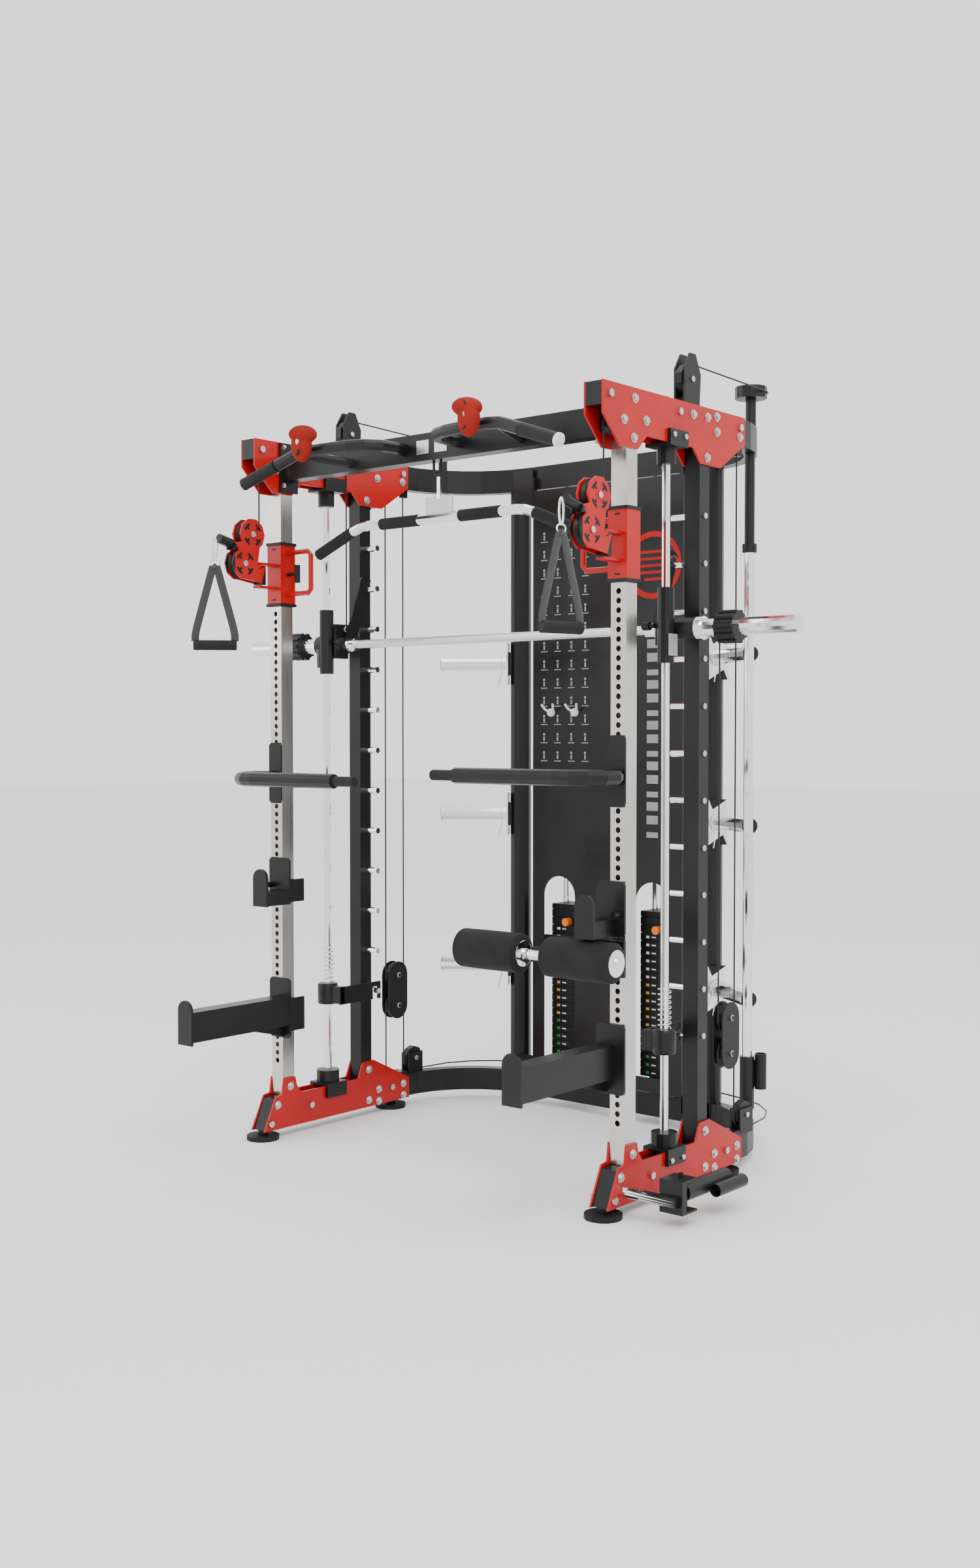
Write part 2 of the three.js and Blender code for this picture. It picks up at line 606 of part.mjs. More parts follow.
// ---- weight stacks ------------------------------------------------------------------------------
function stackBores(z0, z1, stem) {
  const holes = [-1, 1].map((side) => bar('z', 11.5, [z0, z1], [side * STACK_ROD_DX, STACK_AXIS_Y], 10));
  return stem ? [...holes, bar('z', 14, [z0, z1], [0, STACK_AXIS_Y], 10)] : holes;
}

function stackPlate(z, height = STACK_PLATE) {
  const back = STACK_FRONT_Y + STACK_DEPTH;
  return box([-STACK_HALF, STACK_HALF], [STACK_FRONT_Y, back], [z, z + height]);
}

function stackCore([z0, z1]) {
  const back = STACK_FRONT_Y + STACK_DEPTH - 3;
  return box([-STACK_HALF + 3, STACK_HALF - 3], [STACK_FRONT_Y + 3, back], [z0, z1]);
}

const STACK_SPLIT_Z = STACK_FOOT_Z + STACK_FIXED * STACK_PITCH;
const PIN_Z = STACK_SPLIT_Z + STACK_PLATE / 2;

function weightStack() {
  const plates = Array.from({ length: STACK_FIXED }, (_, i) => stackPlate(STACK_FOOT_Z + i * STACK_PITCH));
  const top = STACK_SPLIT_Z - STACK_PITCH + STACK_PLATE;
  return cut(join(stackCore([STACK_FOOT_Z + 2, top - 2]), plates), stackBores(0, 800, true));
}

function stackHead() {
  const plates = [0, 1].map((i) => stackPlate(STACK_SPLIT_Z + i * STACK_PITCH));
  const topZ = STACK_SPLIT_Z + 2 * STACK_PITCH;
  const parts = [stackCore([STACK_SPLIT_Z + 2, topZ + 2]), ...plates, stackPlate(topZ, 18)];
  const block = cut(join(parts), stackBores(0, 900, false));
  const stem = bar('z', 12, [170, topZ + 36], [0, STACK_AXIS_Y], 10);
  const pinHole = bar('y', 6, [STACK_FRONT_Y - 10, STACK_AXIS_Y - 14], [0, PIN_Z], 10);
  return cut(join(block, stem), pinHole);
}

function selectorPin() {
  const shank = bar('y', 4.5, [STACK_FRONT_Y - 3, STACK_AXIS_Y - 16], [0, PIN_Z], 8);
  return join(shank, bar('y', 14, [STACK_FRONT_Y - 26, STACK_FRONT_Y - 2], [0, PIN_Z], 12));
}

function stackShroud() {
  const sheet = box([-305, 305], [PANEL_Y, PANEL_Y + 3], [112, 2113]);
  const through = [PANEL_Y - 5, PANEL_Y + 8];
  const slots = [-1, 1].flatMap((s) => [
    box([s * SLOT_X - SLOT_HALF, s * SLOT_X + SLOT_HALF], through, SLOT_Z),
    bar('y', SLOT_HALF, through, [s * SLOT_X, SLOT_Z[1]], 24),
  ]);
  const depth = [PANEL_Y, BEAM_Y - BEAM_HALF - GAP];
  const flanges = [-1, 1].map((s) => box([s * 302, s * 305], depth, [60, 2160]));
  return join(cut(sheet, slots), flanges);
}

function storagePost(s) {
  const parts = [bar('z', POST_R, [LOW_BEAM[1] + GAP, HIGH_BEAM[0] - GAP], [0, 0], 12)];
  for (const z of HORN_Z) {
    const horn = join(
      box([20, 50], [-18, 18], [z - 40, z + 40]),
      box([42, 49], [-32, 32], [z - 72, z + 72]),
      bar('x', SLEEVE_R - 1, [48, 272], [0, z]),
      bar('x', 28, [270, 278], [0, z]));
    parts.push(horn.rotate([0, 0, s > 0 ? -HORN_TURN : 180 + HORN_TURN]));
  }
  const bore = bar('z', POST_R - 3, [0, 2300], [0, 0], 12);
  const post = cut(join(parts), bore).translate(s * POST_X, BEAM_Y, 0);
  const splices = [[2050, 2190], [36, 170]].map(([low, high]) => {
    return box([s * 312, s * 398], [840, 846], [low, high]);
  });
  return join(post, splices);
}

// ---- rope blocks, cables, bar holder and landmine -----------------------------------------------
function floatingBlock() {
  const parts = BLOCK_WHEELS.map((z) => wheel(0, [BLOCK_Y, z], PULLEY_R - CABLE_R - 1, 11));
  for (const side of [-1, 1]) {
    const span = [side * 13, side * 17];
    const shape = new THREE.Shape();
    shape.absarc(BLOCK_Y, BLOCK_WHEELS[0], 46, 0, Math.PI, false);
    shape.absarc(BLOCK_Y, BLOCK_WHEELS[1], 46, Math.PI, 2 * Math.PI, false);
    parts.push(sidePlate(shape, span));
  }
  for (const z of BLOCK_WHEELS) parts.push(bar('x', 7, [-24, 24], [BLOCK_Y, z], 8));
  return join(parts);
}

function trolleyCable() {
  const [upper] = ARM_WHEELS;
  const front = FRONT_WHEEL[0] - FRONT_WHEEL_R;
  const back = REAR_WHEEL[0] + PULLEY_R;
  const points = [
    [0, front, upper[1] + 8], [0, front, 2030],
    ...bend(0, FRONT_WHEEL, FRONT_WHEEL_R, [180, 90], 4),
    ...bend(0, REAR_WHEEL, PULLEY_R, [90, 0], 4),
    [0, back, 1200],
    ...bend(0, [BLOCK_Y, BLOCK_WHEELS[0]], PULLEY_R, [180, 360], 8),
    [0, BLOCK_Y + PULLEY_R, 1200], [0, BLOCK_Y + PULLEY_R, 2093],
  ];
  return sweep(points, CABLE_R, 8);
}

function stackCable(s) {
  const x = s * SIDE_X;
  const low = BASE_WHEEL[1] - PULLEY_R;
  const rearWheel = STACK_WHEEL[0] + STACK_WHEEL_R;
  const points = [
    [x, BLOCK_Y - PULLEY_R, 118.5], [x, BLOCK_Y - PULLEY_R, 240],
    ...bend(x, [BLOCK_Y, BLOCK_WHEELS[1]], PULLEY_R, [180, 0], 8),
    [x, BLOCK_Y + PULLEY_R, 250],
    ...bend(x, BASE_WHEEL, PULLEY_R, [180, 270]),
    [s * 664, 680, low], [s * 650, 770, low], [s * 610, 850, low], [s * 545, 915, low], [s * 450, 958, low],
    [s * 330, 990, low], [s * 240, 1003, low], [s * 200, rearWheel, low + 4],
    [s * 188, rearWheel, low + 18], [s * STACK_X, rearWheel, low + 60], [s * STACK_X, rearWheel, 1100],
    ...bend(s * STACK_X, STACK_WHEEL, STACK_WHEEL_R, [0, 180], 8),
    [s * STACK_X, STACK_AXIS_Y, 1200], [s * STACK_X, STACK_AXIS_Y, 718.5],
  ];
  return sweep(points, CABLE_R, 8);
}

function barPost() {
  const [x, y] = BAR_POST;
  const post = bar('z', 15, [LOW_BEAM[1] + GAP, HIGH_BEAM[0] - GAP], [x, y], 14);
  const cup = bar('z', 22, [153, 311], [x, y], 14);
  const collar = bar('z', 22, [1826, 1852], [x, y], 14);
  const socket = [x + 34, y + 22];
  const holder = cut(bar('z', 18, [213, 320], socket, 14), bar('z', 15, [200, 330], socket, 14));
  const web = box([x + 10, x + 22], [y + 2, y + 14], [220, 300]);
  return cut(join(post, cup, collar, holder, web), bar('z', 12, [0, 2300], BAR_POST, 14));
}

const MINE_Y = -49;
const MINE_Z = 70;
const SWIVEL = [850, 2];

function landmineYoke() {
  const [x, y] = SWIVEL;
  return join(
    bar('x', 15.5, [SIDE_X + PLATE_OUT + GAP, 874], [MINE_Y, MINE_Z], 14),
    box([x - 36, x + 36], [-44, -26], [36, 124]),
    box([x - 36, x + 36], [-30, y + 24], [36, 42]),
    box([x - 36, x + 36], [-30, y + 24], [118, 124]),
    bar('z', 8, [32, 134], SWIVEL, 10));
}

function landmineTube() {
  const [x, y] = SWIVEL;
  const boss = bar('z', 18, [44, 116], SWIVEL, 14);
  const tube = cut(bar('y', 24, [y + 10, 224], [x, 80], 12), bar('y', 21, [60, 230], [x, 80], 14));
  const side = cut(bar('y', 18, [108, 247], [x + 40, 72], 14), bar('y', 15, [100, 255], [x + 40, 72], 14));
  const bore = bar('z', 9, [30, 130], SWIVEL, 12);
  return cut(join(boss, tube, side), bore);
}

// ---- assembly -----------------------------------------------------------------------------------
const machine = new THREE.Group();
machine.position.y = -(FRONT_Y + REAR_Y) / 2;

addPart(machine, 'base_frame', baseFrame(), paint.black);
addPart(machine, 'upper_frame', upperFrame(), paint.black);
addPart(machine, 'crossbeam', crossbeam(), paint.black);
addPart(machine, 'stack_shroud', stackShroud(), paint.black);
addPart(machine, 'smith_bar', smithBar(), paint.chrome);
addPart(machine, 'lat_bar', latBar(), paint.chrome);
addPart(machine, 'roller_bracket', rollerBracket(), paint.black);
addPart(machine, 'foam_roller_inner', foamRoller(ROLLERS[0]), paint.rubber);
addPart(machine, 'foam_roller_outer', foamRoller(ROLLERS[1]), paint.rubber);
addPart(machine, 'bar_post', barPost(), paint.chrome);
addPart(machine, 'landmine_yoke', landmineYoke(), paint.black);
addPart(machine, 'landmine_tube', landmineTube(), paint.black);

for (const [side, s] of [['left', -1], ['right', 1]]) {
  const inward = -s;
  const frame = new THREE.Group();
  frame.position.x = s * SIDE_X;
  machine.add(frame);
  addPart(frame, `base_plates_${side}`, plateCheeks(BASE_OUTLINE, BASE_BOLTS), paint.red);
  addPart(frame, `top_plates_${side}`, plateCheeks(TOP_OUTLINE, TOP_BOLTS), paint.red);
  addPart(frame, `front_upright_${side}`, squareTube([-TUBE, TUBE], [RAIL_Z, UPRIGHT_TOP]), paint.steel);
  addPart(frame, `rear_upright_${side}`, rearUpright(inward), paint.black);
  addPart(frame, `guide_rod_${side}`, guideRod(), paint.chrome);
  addPart(frame, `smith_carriage_${side}`, carriage(inward), paint.black);
  addPart(frame, `safety_stop_${side}`, safetyStop(inward), paint.black);
  addPart(frame, `dip_bar_${side}`, dipBar(inward, s > 0 ? DIP_Z + HOLE_PITCH : DIP_Z), paint.black);
  addPart(frame, `j_hook_${side}`, jHook(inward), paint.black);
  addPart(frame, `safety_arm_${side}`, safetyArm(inward), paint.black);
  addPart(frame, `trolley_${side}`, trolley(inward), paint.red);
  addPart(frame, `pull_pin_${side}`, pullPin(inward), paint.rubber);
  addPart(frame, `pulley_arm_${side}`, pulleyArm(), paint.red);
  addPart(frame, `upper_wheel_${side}`, armWheel(ARM_WHEELS[0]), paint.nylon);
  addPart(frame, `lower_wheel_${side}`, armWheel(ARM_WHEELS[1]), paint.nylon);
  addPart(frame, `strap_handle_${side}`, strapHandle(s > 0 ? 75 : 45), paint.rubber);
  addPart(frame, `floating_block_${side}`, floatingBlock(), paint.nylon);
  addPart(frame, `trolley_cable_${side}`, trolleyCable(), paint.nylon);
  addPart(machine, `climbing_hold_${side}`, climbingHold(s), paint.hold);
  addPart(machine, `storage_post_${side}`, storagePost(s), paint.black);
  addPart(machine, `stack_cable_${side}`, stackCable(s), paint.nylon);

  const bay = new THREE.Group();
  bay.position.x = s * STACK_X;
  machine.add(bay);
  addPart(bay, `weight_stack_${side}`, weightStack(), paint.iron);
  addPart(bay, `stack_head_${side}`, stackHead(), paint.iron);
  addPart(bay, `selector_pin_${side}`, selectorPin(), paint.orange);
}

export default machine;
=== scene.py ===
"""Looks, studio and camera for the smith machine. Metres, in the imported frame; front towards -Y."""

import math

import bpy
from mathutils import Matrix, Vector


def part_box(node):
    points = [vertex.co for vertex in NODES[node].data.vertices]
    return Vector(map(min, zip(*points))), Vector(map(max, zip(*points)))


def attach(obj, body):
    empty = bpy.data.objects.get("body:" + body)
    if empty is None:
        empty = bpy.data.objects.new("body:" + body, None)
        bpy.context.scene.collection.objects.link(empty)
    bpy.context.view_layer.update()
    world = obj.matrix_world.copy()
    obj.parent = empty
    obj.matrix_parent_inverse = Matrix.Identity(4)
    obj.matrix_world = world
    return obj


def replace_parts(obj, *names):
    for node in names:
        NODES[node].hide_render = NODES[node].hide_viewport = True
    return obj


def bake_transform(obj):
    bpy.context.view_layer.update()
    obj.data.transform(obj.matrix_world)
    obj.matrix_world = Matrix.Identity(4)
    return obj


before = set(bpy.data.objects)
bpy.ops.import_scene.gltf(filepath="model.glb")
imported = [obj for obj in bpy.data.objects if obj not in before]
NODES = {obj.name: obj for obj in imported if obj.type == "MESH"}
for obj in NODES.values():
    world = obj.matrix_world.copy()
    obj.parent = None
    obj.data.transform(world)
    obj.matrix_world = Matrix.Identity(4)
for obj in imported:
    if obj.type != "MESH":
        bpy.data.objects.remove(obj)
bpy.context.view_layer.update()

SIDES = (("left", -1), ("right", 1))
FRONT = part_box("front_upright_right")
UPRIGHT_Y = (FRONT[0].y + FRONT[1].y) / 2      # metres
HOLE_PITCH = 0.0254
CABLE_R = 0.0024

# Millimetres, with y measured from the middle of the front uprights.
SIDE = (FRONT[0].x + FRONT[1].x) / 2 * 1000    # mid-plane of each side frame
ROD_Y = 200
BAR_Y, BAR_Z = 248, 1575.5
PEG_Y, PEG_TOP_Z, PEG_PITCH, PEG_COUNT = 355, 1898, 133.8, 12
FRONT_WHEEL, FRONT_WHEEL_R = (-62, 2097), 32
REAR_WHEEL, BASE_WHEEL, WHEEL_R = (434, 2085), (610, 155), 44
ARM_WHEELS = ((-138, 1903), (-170, 1811))
SIDE_WHEEL = (300, 2272)
BLOCK_Y, BLOCK_TOP, BLOCK_LOW = 522, 455, 350
STACK_X, STACK_AXIS_Y = 185, 935
STACK_FRONT_Y = 885
STACK_WHEEL, STACK_WHEEL_R = (970, 2160), 35
CORNER_X, CORNER_Y, CORNER_R, CORNER_Z = 618.4, 722.2, 50.4, 2308
POST = (390, 873)
HORN_HEIGHTS = (1527, 1005, 477)
HORN_TURN = math.radians(33)
PLATE_IN, PLATE_OUT = 633.6, 696.4


def at(x, y, z):
    """A point from millimetres, with y measured from the middle of the front uprights."""
    return Vector((x / 1000, UPRIGHT_Y + y / 1000, z / 1000))


# ---- materials ----------------------------------------------------------------------------------
class Nodes:
    """Builds one node material step by step."""

    def __init__(self, name, color, roughness, metallic=0.0, **inputs):
        self.material = bpy.data.materials.new(name)
        self.material.use_nodes = True
        self.tree = self.material.node_tree
        self.bsdf = self.tree.nodes["Principled BSDF"]
        self.color = (*color, 1)
        self.roughness = roughness
        self.bsdf.inputs["Base Color"].default_value = self.color
        self.bsdf.inputs["Roughness"].default_value = roughness
        self.bsdf.inputs["Metallic"].default_value = metallic
        for key, value in inputs.items():
            self.bsdf.inputs[key.replace("_", " ")].default_value = value
        self.coords = self.tree.nodes.new("ShaderNodeTexCoord").outputs["Object"]

    def link(self, source, target):
        self.tree.links.new(source, target)

    def scaled(self, scale):
        node = self.tree.nodes.new("ShaderNodeMapping")
        node.inputs["Scale"].default_value = scale
        self.link(self.coords, node.inputs["Vector"])
        return node.outputs["Vector"]

    def noise(self, scale, detail=3.0, stretch=None):
        node = self.tree.nodes.new("ShaderNodeTexNoise")
        node.inputs["Scale"].default_value = scale
        node.inputs["Detail"].default_value = detail
        self.link(self.scaled(stretch) if stretch else self.coords, node.inputs["Vector"])
        return node.outputs["Fac"]

    def ramp(self, source, low, high):
        node = self.tree.nodes.new("ShaderNodeMapRange")
        node.inputs["To Min"].default_value = low
        node.inputs["To Max"].default_value = high
        self.link(source, node.inputs["Value"])
        return node.outputs["Result"]

    def vary(self, source, other, low=0.35, high=0.65):
        """Mixes the colour towards another one where the source is high."""
        mask = self.tree.nodes.new("ShaderNodeMapRange")
        mask.inputs["From Min"].default_value = low
        mask.inputs["From Max"].default_value = high
        self.link(source, mask.inputs["Value"])
        mix = self.tree.nodes.new("ShaderNodeMix")
        mix.data_type = "RGBA"
        mix.inputs[6].default_value = self.color
        mix.inputs[7].default_value = (*other, 1)
        self.link(mask.outputs["Result"], mix.inputs[0])
        self.link(mix.outputs[2], self.bsdf.inputs["Base Color"])

    def rough(self, source, spread):
        value = self.ramp(source, max(self.roughness - spread, 0.02), self.roughness + spread)
        self.link(value, self.bsdf.inputs["Roughness"])

    def bump(self, source, strength, distance=0.0004):
        node = self.tree.nodes.new("ShaderNodeBump")
        node.inputs["Strength"].default_value = strength
        node.inputs["Distance"].default_value = distance
        self.link(source, node.inputs["Height"])
        self.link(node.outputs["Normal"], self.bsdf.inputs["Normal"])


def coat(name, color, patch, roughness, peel, gloss):
    """Powder coat: orange-peel bump, faint colour patches and smudged gloss."""
    n = Nodes(name, color, roughness, Coat_Weight=gloss, Coat_Roughness=0.12, Specular_IOR_Level=0.25)
    n.vary(n.noise(6, 5), patch)
    n.rough(n.noise(11, 6), 0.07)
    n.bump(n.noise(peel, 2), 0.22, 0.0003)
    return n.material


def plain_metal(name, color, roughness, spread):
    """Plated or turned metal with faint smudges."""
    n = Nodes(name, color, roughness, 1.0)
    n.rough(n.noise(9, 6), spread)
    n.bump(n.noise(900, 2), 0.08, 0.0001)
    return n.material


def grained(name, color, patch, roughness, scale, strength, metallic=0.0, distance=0.0006):
    """Moulded, cast or foamed surfaces with a visible grain."""
    n = Nodes(name, color, roughness, metallic, Specular_IOR_Level=0.25)
    n.vary(n.noise(14, 6), patch)
    n.rough(n.noise(25, 5), 0.08)
    n.bump(n.noise(scale, 4), strength, distance)
    return n.material


def brushed_steel():
    """Polished tube with a fine grain along its length and faint handling marks."""
    n = Nodes("upright_steel", (0.62, 0.6, 0.56), 0.2, 1.0)
    n.vary(n.noise(5, 5), (0.52, 0.5, 0.47))
    grain = n.noise(260, 3, (1, 1, 0.02))
    n.rough(grain, 0.08)
    n.bump(grain, 0.12, 0.0002)
    return n.material


def webbing_material():
    """Woven strap: fine bands across its length."""
    n = Nodes("webbing", (0.012, 0.012, 0.013), 0.75, Sheen_Weight=0.3)
    wave = n.tree.nodes.new("ShaderNodeTexWave")
    wave.inputs["Scale"].default_value = 160
    wave.inputs["Distortion"].default_value = 0.6
    wave.bands_direction = "Z"
    n.link(n.coords, wave.inputs["Vector"])
    n.vary(wave.outputs["Fac"], (0.04, 0.04, 0.042))
    n.bump(wave.outputs["Fac"], 0.6, 0.0006)
    return n.material


def knurled():
    """Chrome with a rough cell pattern, for the gripped stretch of the bar."""
    n = Nodes("knurled_chrome", (0.72, 0.72, 0.73), 0.26, 1.0)
    cells = n.tree.nodes.new("ShaderNodeTexVoronoi")
    cells.inputs["Scale"].default_value = 520
    n.link(n.coords, cells.inputs["Vector"])
    n.rough(cells.outputs["Distance"], 0.12)
    n.bump(cells.outputs["Distance"], 0.7, 0.0004)
    return n.material


def frosted():
    """Pale plastic that lets some light through."""
    n = Nodes("frosted_plate", (0.86, 0.87, 0.87), 0.4, Transmission_Weight=0.45)
    n.vary(n.noise(20, 5), (0.8, 0.81, 0.81))
    n.rough(n.noise(40, 4), 0.08)
    n.bump(n.noise(600, 2), 0.1, 0.0002)
    return n.material


RED = coat("red_coat", (0.46, 0.002, 0.0015), (0.38, 0.0015, 0.001), 0.32, 700, 0.12)
BLACK = coat("black_coat", (0.006, 0.006, 0.0065), (0.009, 0.009, 0.0095), 0.36, 900, 0.06)
PANEL = coat("panel_coat", (0.005, 0.005, 0.0055), (0.008, 0.008, 0.0085), 0.28, 1200, 0.1)
UPRIGHT = brushed_steel()
CHROME = plain_metal("chrome", (0.82, 0.82, 0.83), 0.09, 0.04)
KNURL = knurled()
ZINC = plain_metal("zinc_bolt", (0.55, 0.55, 0.56), 0.3, 0.08)
FOAM = grained("foam", (0.007, 0.007, 0.0075), (0.012, 0.012, 0.0125), 0.72, 520, 0.55)
RUBBER_AND_HOLE_SHADE = grained("rubber_and_hole_shade", (0.007, 0.007, 0.007), (0.012, 0.012, 0.012), 0.6, 700, 0.25)
NYLON_AND_SLOT_SHADE = grained("nylon", (0.006, 0.006, 0.0065), (0.01, 0.01, 0.0105), 0.42, 400, 0.12)
IRON = grained("iron", (0.01, 0.01, 0.0105), (0.017, 0.017, 0.0175), 0.5, 320, 0.5, 0.3)
RESIN = grained("resin", (0.27, 0.009, 0.002), (0.21, 0.006, 0.0015), 0.75, 420, 0.9, 0.0, 0.0012)
ORANGE = grained("orange_knob", (0.85, 0.2, 0.012), (0.78, 0.16, 0.01), 0.35, 500, 0.1)
WHITE = grained("white_cap", (0.78, 0.78, 0.77), (0.7, 0.7, 0.69), 0.4, 500, 0.08)
EMBLEM = grained("emblem", (0.42, 0.003, 0.002), (0.35, 0.002, 0.002), 0.4, 900, 0.05)
GREEN = grained("mark_green", (0.02, 0.3, 0.08), (0.02, 0.24, 0.06), 0.5, 900, 0.05)
YELLOW = grained("mark_yellow", (0.7, 0.5, 0.02), (0.6, 0.42, 0.02), 0.5, 900, 0.05)
PRINT = grained("print", (0.3, 0.3, 0.31), (0.25, 0.25, 0.26), 0.5, 900, 0.05)
CABLE = grained("cable_jacket", (0.012, 0.012, 0.012), (0.02, 0.02, 0.02), 0.35, 900, 0.1)
WEB = webbing_material()
FROST = frosted()


# ---- meshes -------------------------------------------------------------------------------------
class Piece:
    """Gathers simple solids, each with its own material, into one object."""

    def __init__(self, name, slot):
        self.name = name
        self.slot = slot
        self.verts = []
        self.faces = []
        self.face_materials = []
        self.materials = []

    def _add(self, verts, faces, material):
        if material not in self.materials:
            self.materials.append(material)
        base = len(self.verts)
        self.verts += [Vector(v) for v in verts]
        self.faces += [[base + i for i in face] for face in faces]
        self.face_materials += [self.materials.index(material)] * len(faces)
        return self

    def box(self, low, high, material):
        low, high = Vector(low), Vector(high)
        levels = [(y, z) for z in (low.z, high.z) for y in (low.y, high.y)]
        corners = [Vector((x, y, z)) for y, z in levels for x in (low.x, high.x)]
        faces = [(0, 2, 3, 1), (4, 5, 7, 6), (0, 1, 5, 4), (2, 6, 7, 3), (0, 4, 6, 2), (1, 3, 7, 5)]
        return self._add(corners, faces, material)

    def tube(self, points, radii, material, sides=24, closed=False, flat=1.0):
        """A closed sweep along points; radii is one radius or one for each point."""
        points = [Vector(p) for p in points]
        radii = radii if isinstance(radii, (list, tuple)) else [radii] * len(points)
        count = len(points)
        verts = []
        normal = None
        for i, point in enumerate(points):
            before = points[i - 1] if (i or closed) else point
            after = points[(i + 1) % count] if (i < count - 1 or closed) else point
            along = (after - before).normalized()
            if normal is None:
                normal = along.orthogonal().normalized()
                if abs(along.z) < 0.99:
                    normal = Vector((0, 0, 1)).cross(along).normalized()
            normal = (normal - along * normal.dot(along)).normalized()
            side = along.cross(normal)
            for k in range(sides):
                angle = 2 * math.pi * k / sides
                verts.append(point + radii[i] * (math.cos(angle) * normal + flat * math.sin(angle) * side))
        rings = count if closed else count - 1
        faces = []
        for i in range(rings):
            j = (i + 1) % count
            for k in range(sides):
                m = (k + 1) % sides
                faces.append((i * sides + k, i * sides + m, j * sides + m, j * sides + k))
        if not closed:
            faces.append(list(range(sides))[::-1])
            faces.append([(count - 1) * sides + k for k in range(sides)])
        return self._add(verts, faces, material)

    def band(self, points, facing, width, thick, material, closed=False):
        """A flat strip along points in one plane: facing is that plane's normal."""
        points = [Vector(p) for p in points]
        facing = Vector(facing).normalized()
        count = len(points)
        verts = []
        for i, point in enumerate(points):
            before = points[i - 1] if (i or closed) else point
            after = points[(i + 1) % count] if (i < count - 1 or closed) else point
            across = facing.cross((after - before).normalized())
            for a, b in ((-1, -1), (1, -1), (1, 1), (-1, 1)):
                verts.append(point + across * (a * width / 2) + facing * (b * thick / 2))
        faces = []
        for i in range(count if closed else count - 1):
            j = (i + 1) % count
            faces += [(4 * i + k, 4 * i + (k + 1) % 4, 4 * j + (k + 1) % 4, 4 * j + k) for k in range(4)]
        if not closed:
            faces += [(3, 2, 1, 0), tuple(4 * (count - 1) + k for k in range(4))]
        return self._add(verts, faces, material)

    def rod(self, start, end, radius, material, sides=24):
        return self.tube([start, end], radius, material, sides)

    def turned(self, start, direction, profile, material, sides=32):
        """A turned solid: profile is (distance along the axis, radius)."""
        direction = Vector(direction).normalized()
        points = [Vector(start) + direction * d for d, _ in profile]
        axis_u = direction.orthogonal().normalized()
        axis_v = direction.cross(axis_u)
        verts = []
        for point, (_, radius) in zip(points, profile):
            for k in range(sides):
                angle = 2 * math.pi * k / sides
                verts.append(point + radius * (math.cos(angle) * axis_u + math.sin(angle) * axis_v))
        faces = [list(range(sides))[::-1], [(len(profile) - 1) * sides + k for k in range(sides)]]
        for i in range(len(profile) - 1):
            for k in range(sides):
                m = (k + 1) % sides
                faces.append((i * sides + k, i * sides + m, (i + 1) * sides + m, (i + 1) * sides + k))
        return self._add(verts, faces, material)

    def hexagon(self, center, direction, radius, depth, material):
        direction = Vector(direction).normalized()
        return self.turned(center, direction, [(0, radius), (depth * 0.8, radius), (depth, radius * 0.86)],
                           material, 6)

    def build(self, bevel=0.0012, body="frame"):
        mesh = bpy.data.meshes.new(self.name)
        mesh.from_pydata(self.verts, [], self.faces)
        for material in self.materials:
            mesh.materials.append(material)
        mesh.polygons.foreach_set("material_index", self.face_materials)
        mesh.polygons.foreach_set("use_smooth", [True] * len(mesh.polygons))
        mesh.update()
        obj = bpy.data.objects.new(self.name, mesh)
        bpy.context.scene.collection.objects.link(obj)
        finish_edges(obj, bevel)
        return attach(obj, body) if body else obj


def finish_edges(obj, bevel):
    """Sharp edges stay sharp in the normals and get a small round where there is room."""
    if bevel:
        mod = obj.modifiers.new("round", "BEVEL")
        mod.width = bevel
        mod.segments = 2
        mod.limit_method = "ANGLE"
        mod.angle_limit = math.radians(38)
        mod.harden_normals = True
        mod.use_clamp_overlap = True
    else:
        obj.data.set_sharp_from_angle(angle=math.radians(40))


# ---- finishes on the CAD nodes ------------------------------------------------------------------
def paint(node, base, *rules, bevel=0.0012):
    """Gives a CAD node its materials: each rule is (material, test on a face's middle in mm)."""
    obj = NODES[node]
    mesh = obj.data
    mesh.materials.clear()
    mesh.materials.append(base)
    for material, _ in rules:
        mesh.materials.append(material)
    for face in mesh.polygons:
        c = face.center
        place = (abs(c.x) * 1000, (c.y - UPRIGHT_Y) * 1000, c.z * 1000)
        hits = [i + 1 for i, (_, test) in enumerate(rules) if test(*place)]
        face.material_index = hits[0] if hits else 0
        face.use_smooth = True
    finish_edges(obj, bevel)


def off_post(x, y, reach):
    return math.hypot(x - POST[0], y - POST[1]) > reach


def off_bar(y, z):
    return math.hypot(y - BAR_Y, z - BAR_Z)


paint("base_frame", BLACK, (CHROME, lambda x, y, z: z > 152 and y > 900), (RUBBER_AND_HOLE_SHADE, lambda x, y, z: z < 15))
paint("upper_frame", BLACK)
paint("crossbeam", BLACK)
paint("stack_shroud", PANEL, bevel=0.0006)
paint("lat_bar", CHROME, (FROST, lambda x, y, z: x < 53 and 1926 < z < 1979))
paint("roller_bracket", BLACK,
      (CHROME, lambda x, y, z: x < 420 or math.hypot(y + 104, z - 684) < 15.2))
paint("bar_post", CHROME, (BLACK, lambda x, y, z: z < 322 or z > 1820))
paint("landmine_yoke", BLACK, (CHROME, lambda x, y, z: x < 812 and y < -33))
paint("landmine_tube", BLACK)
paint("smith_bar", CHROME,
      (BLACK, lambda x, y, z: 810 < x < 874 and off_bar(y, z) > 25),
      (KNURL, lambda x, y, z: x < 571 and off_bar(y, z) < 15),
      (BLACK, lambda x, y, z: 600 < x < 612 and off_bar(y, z) > 24))
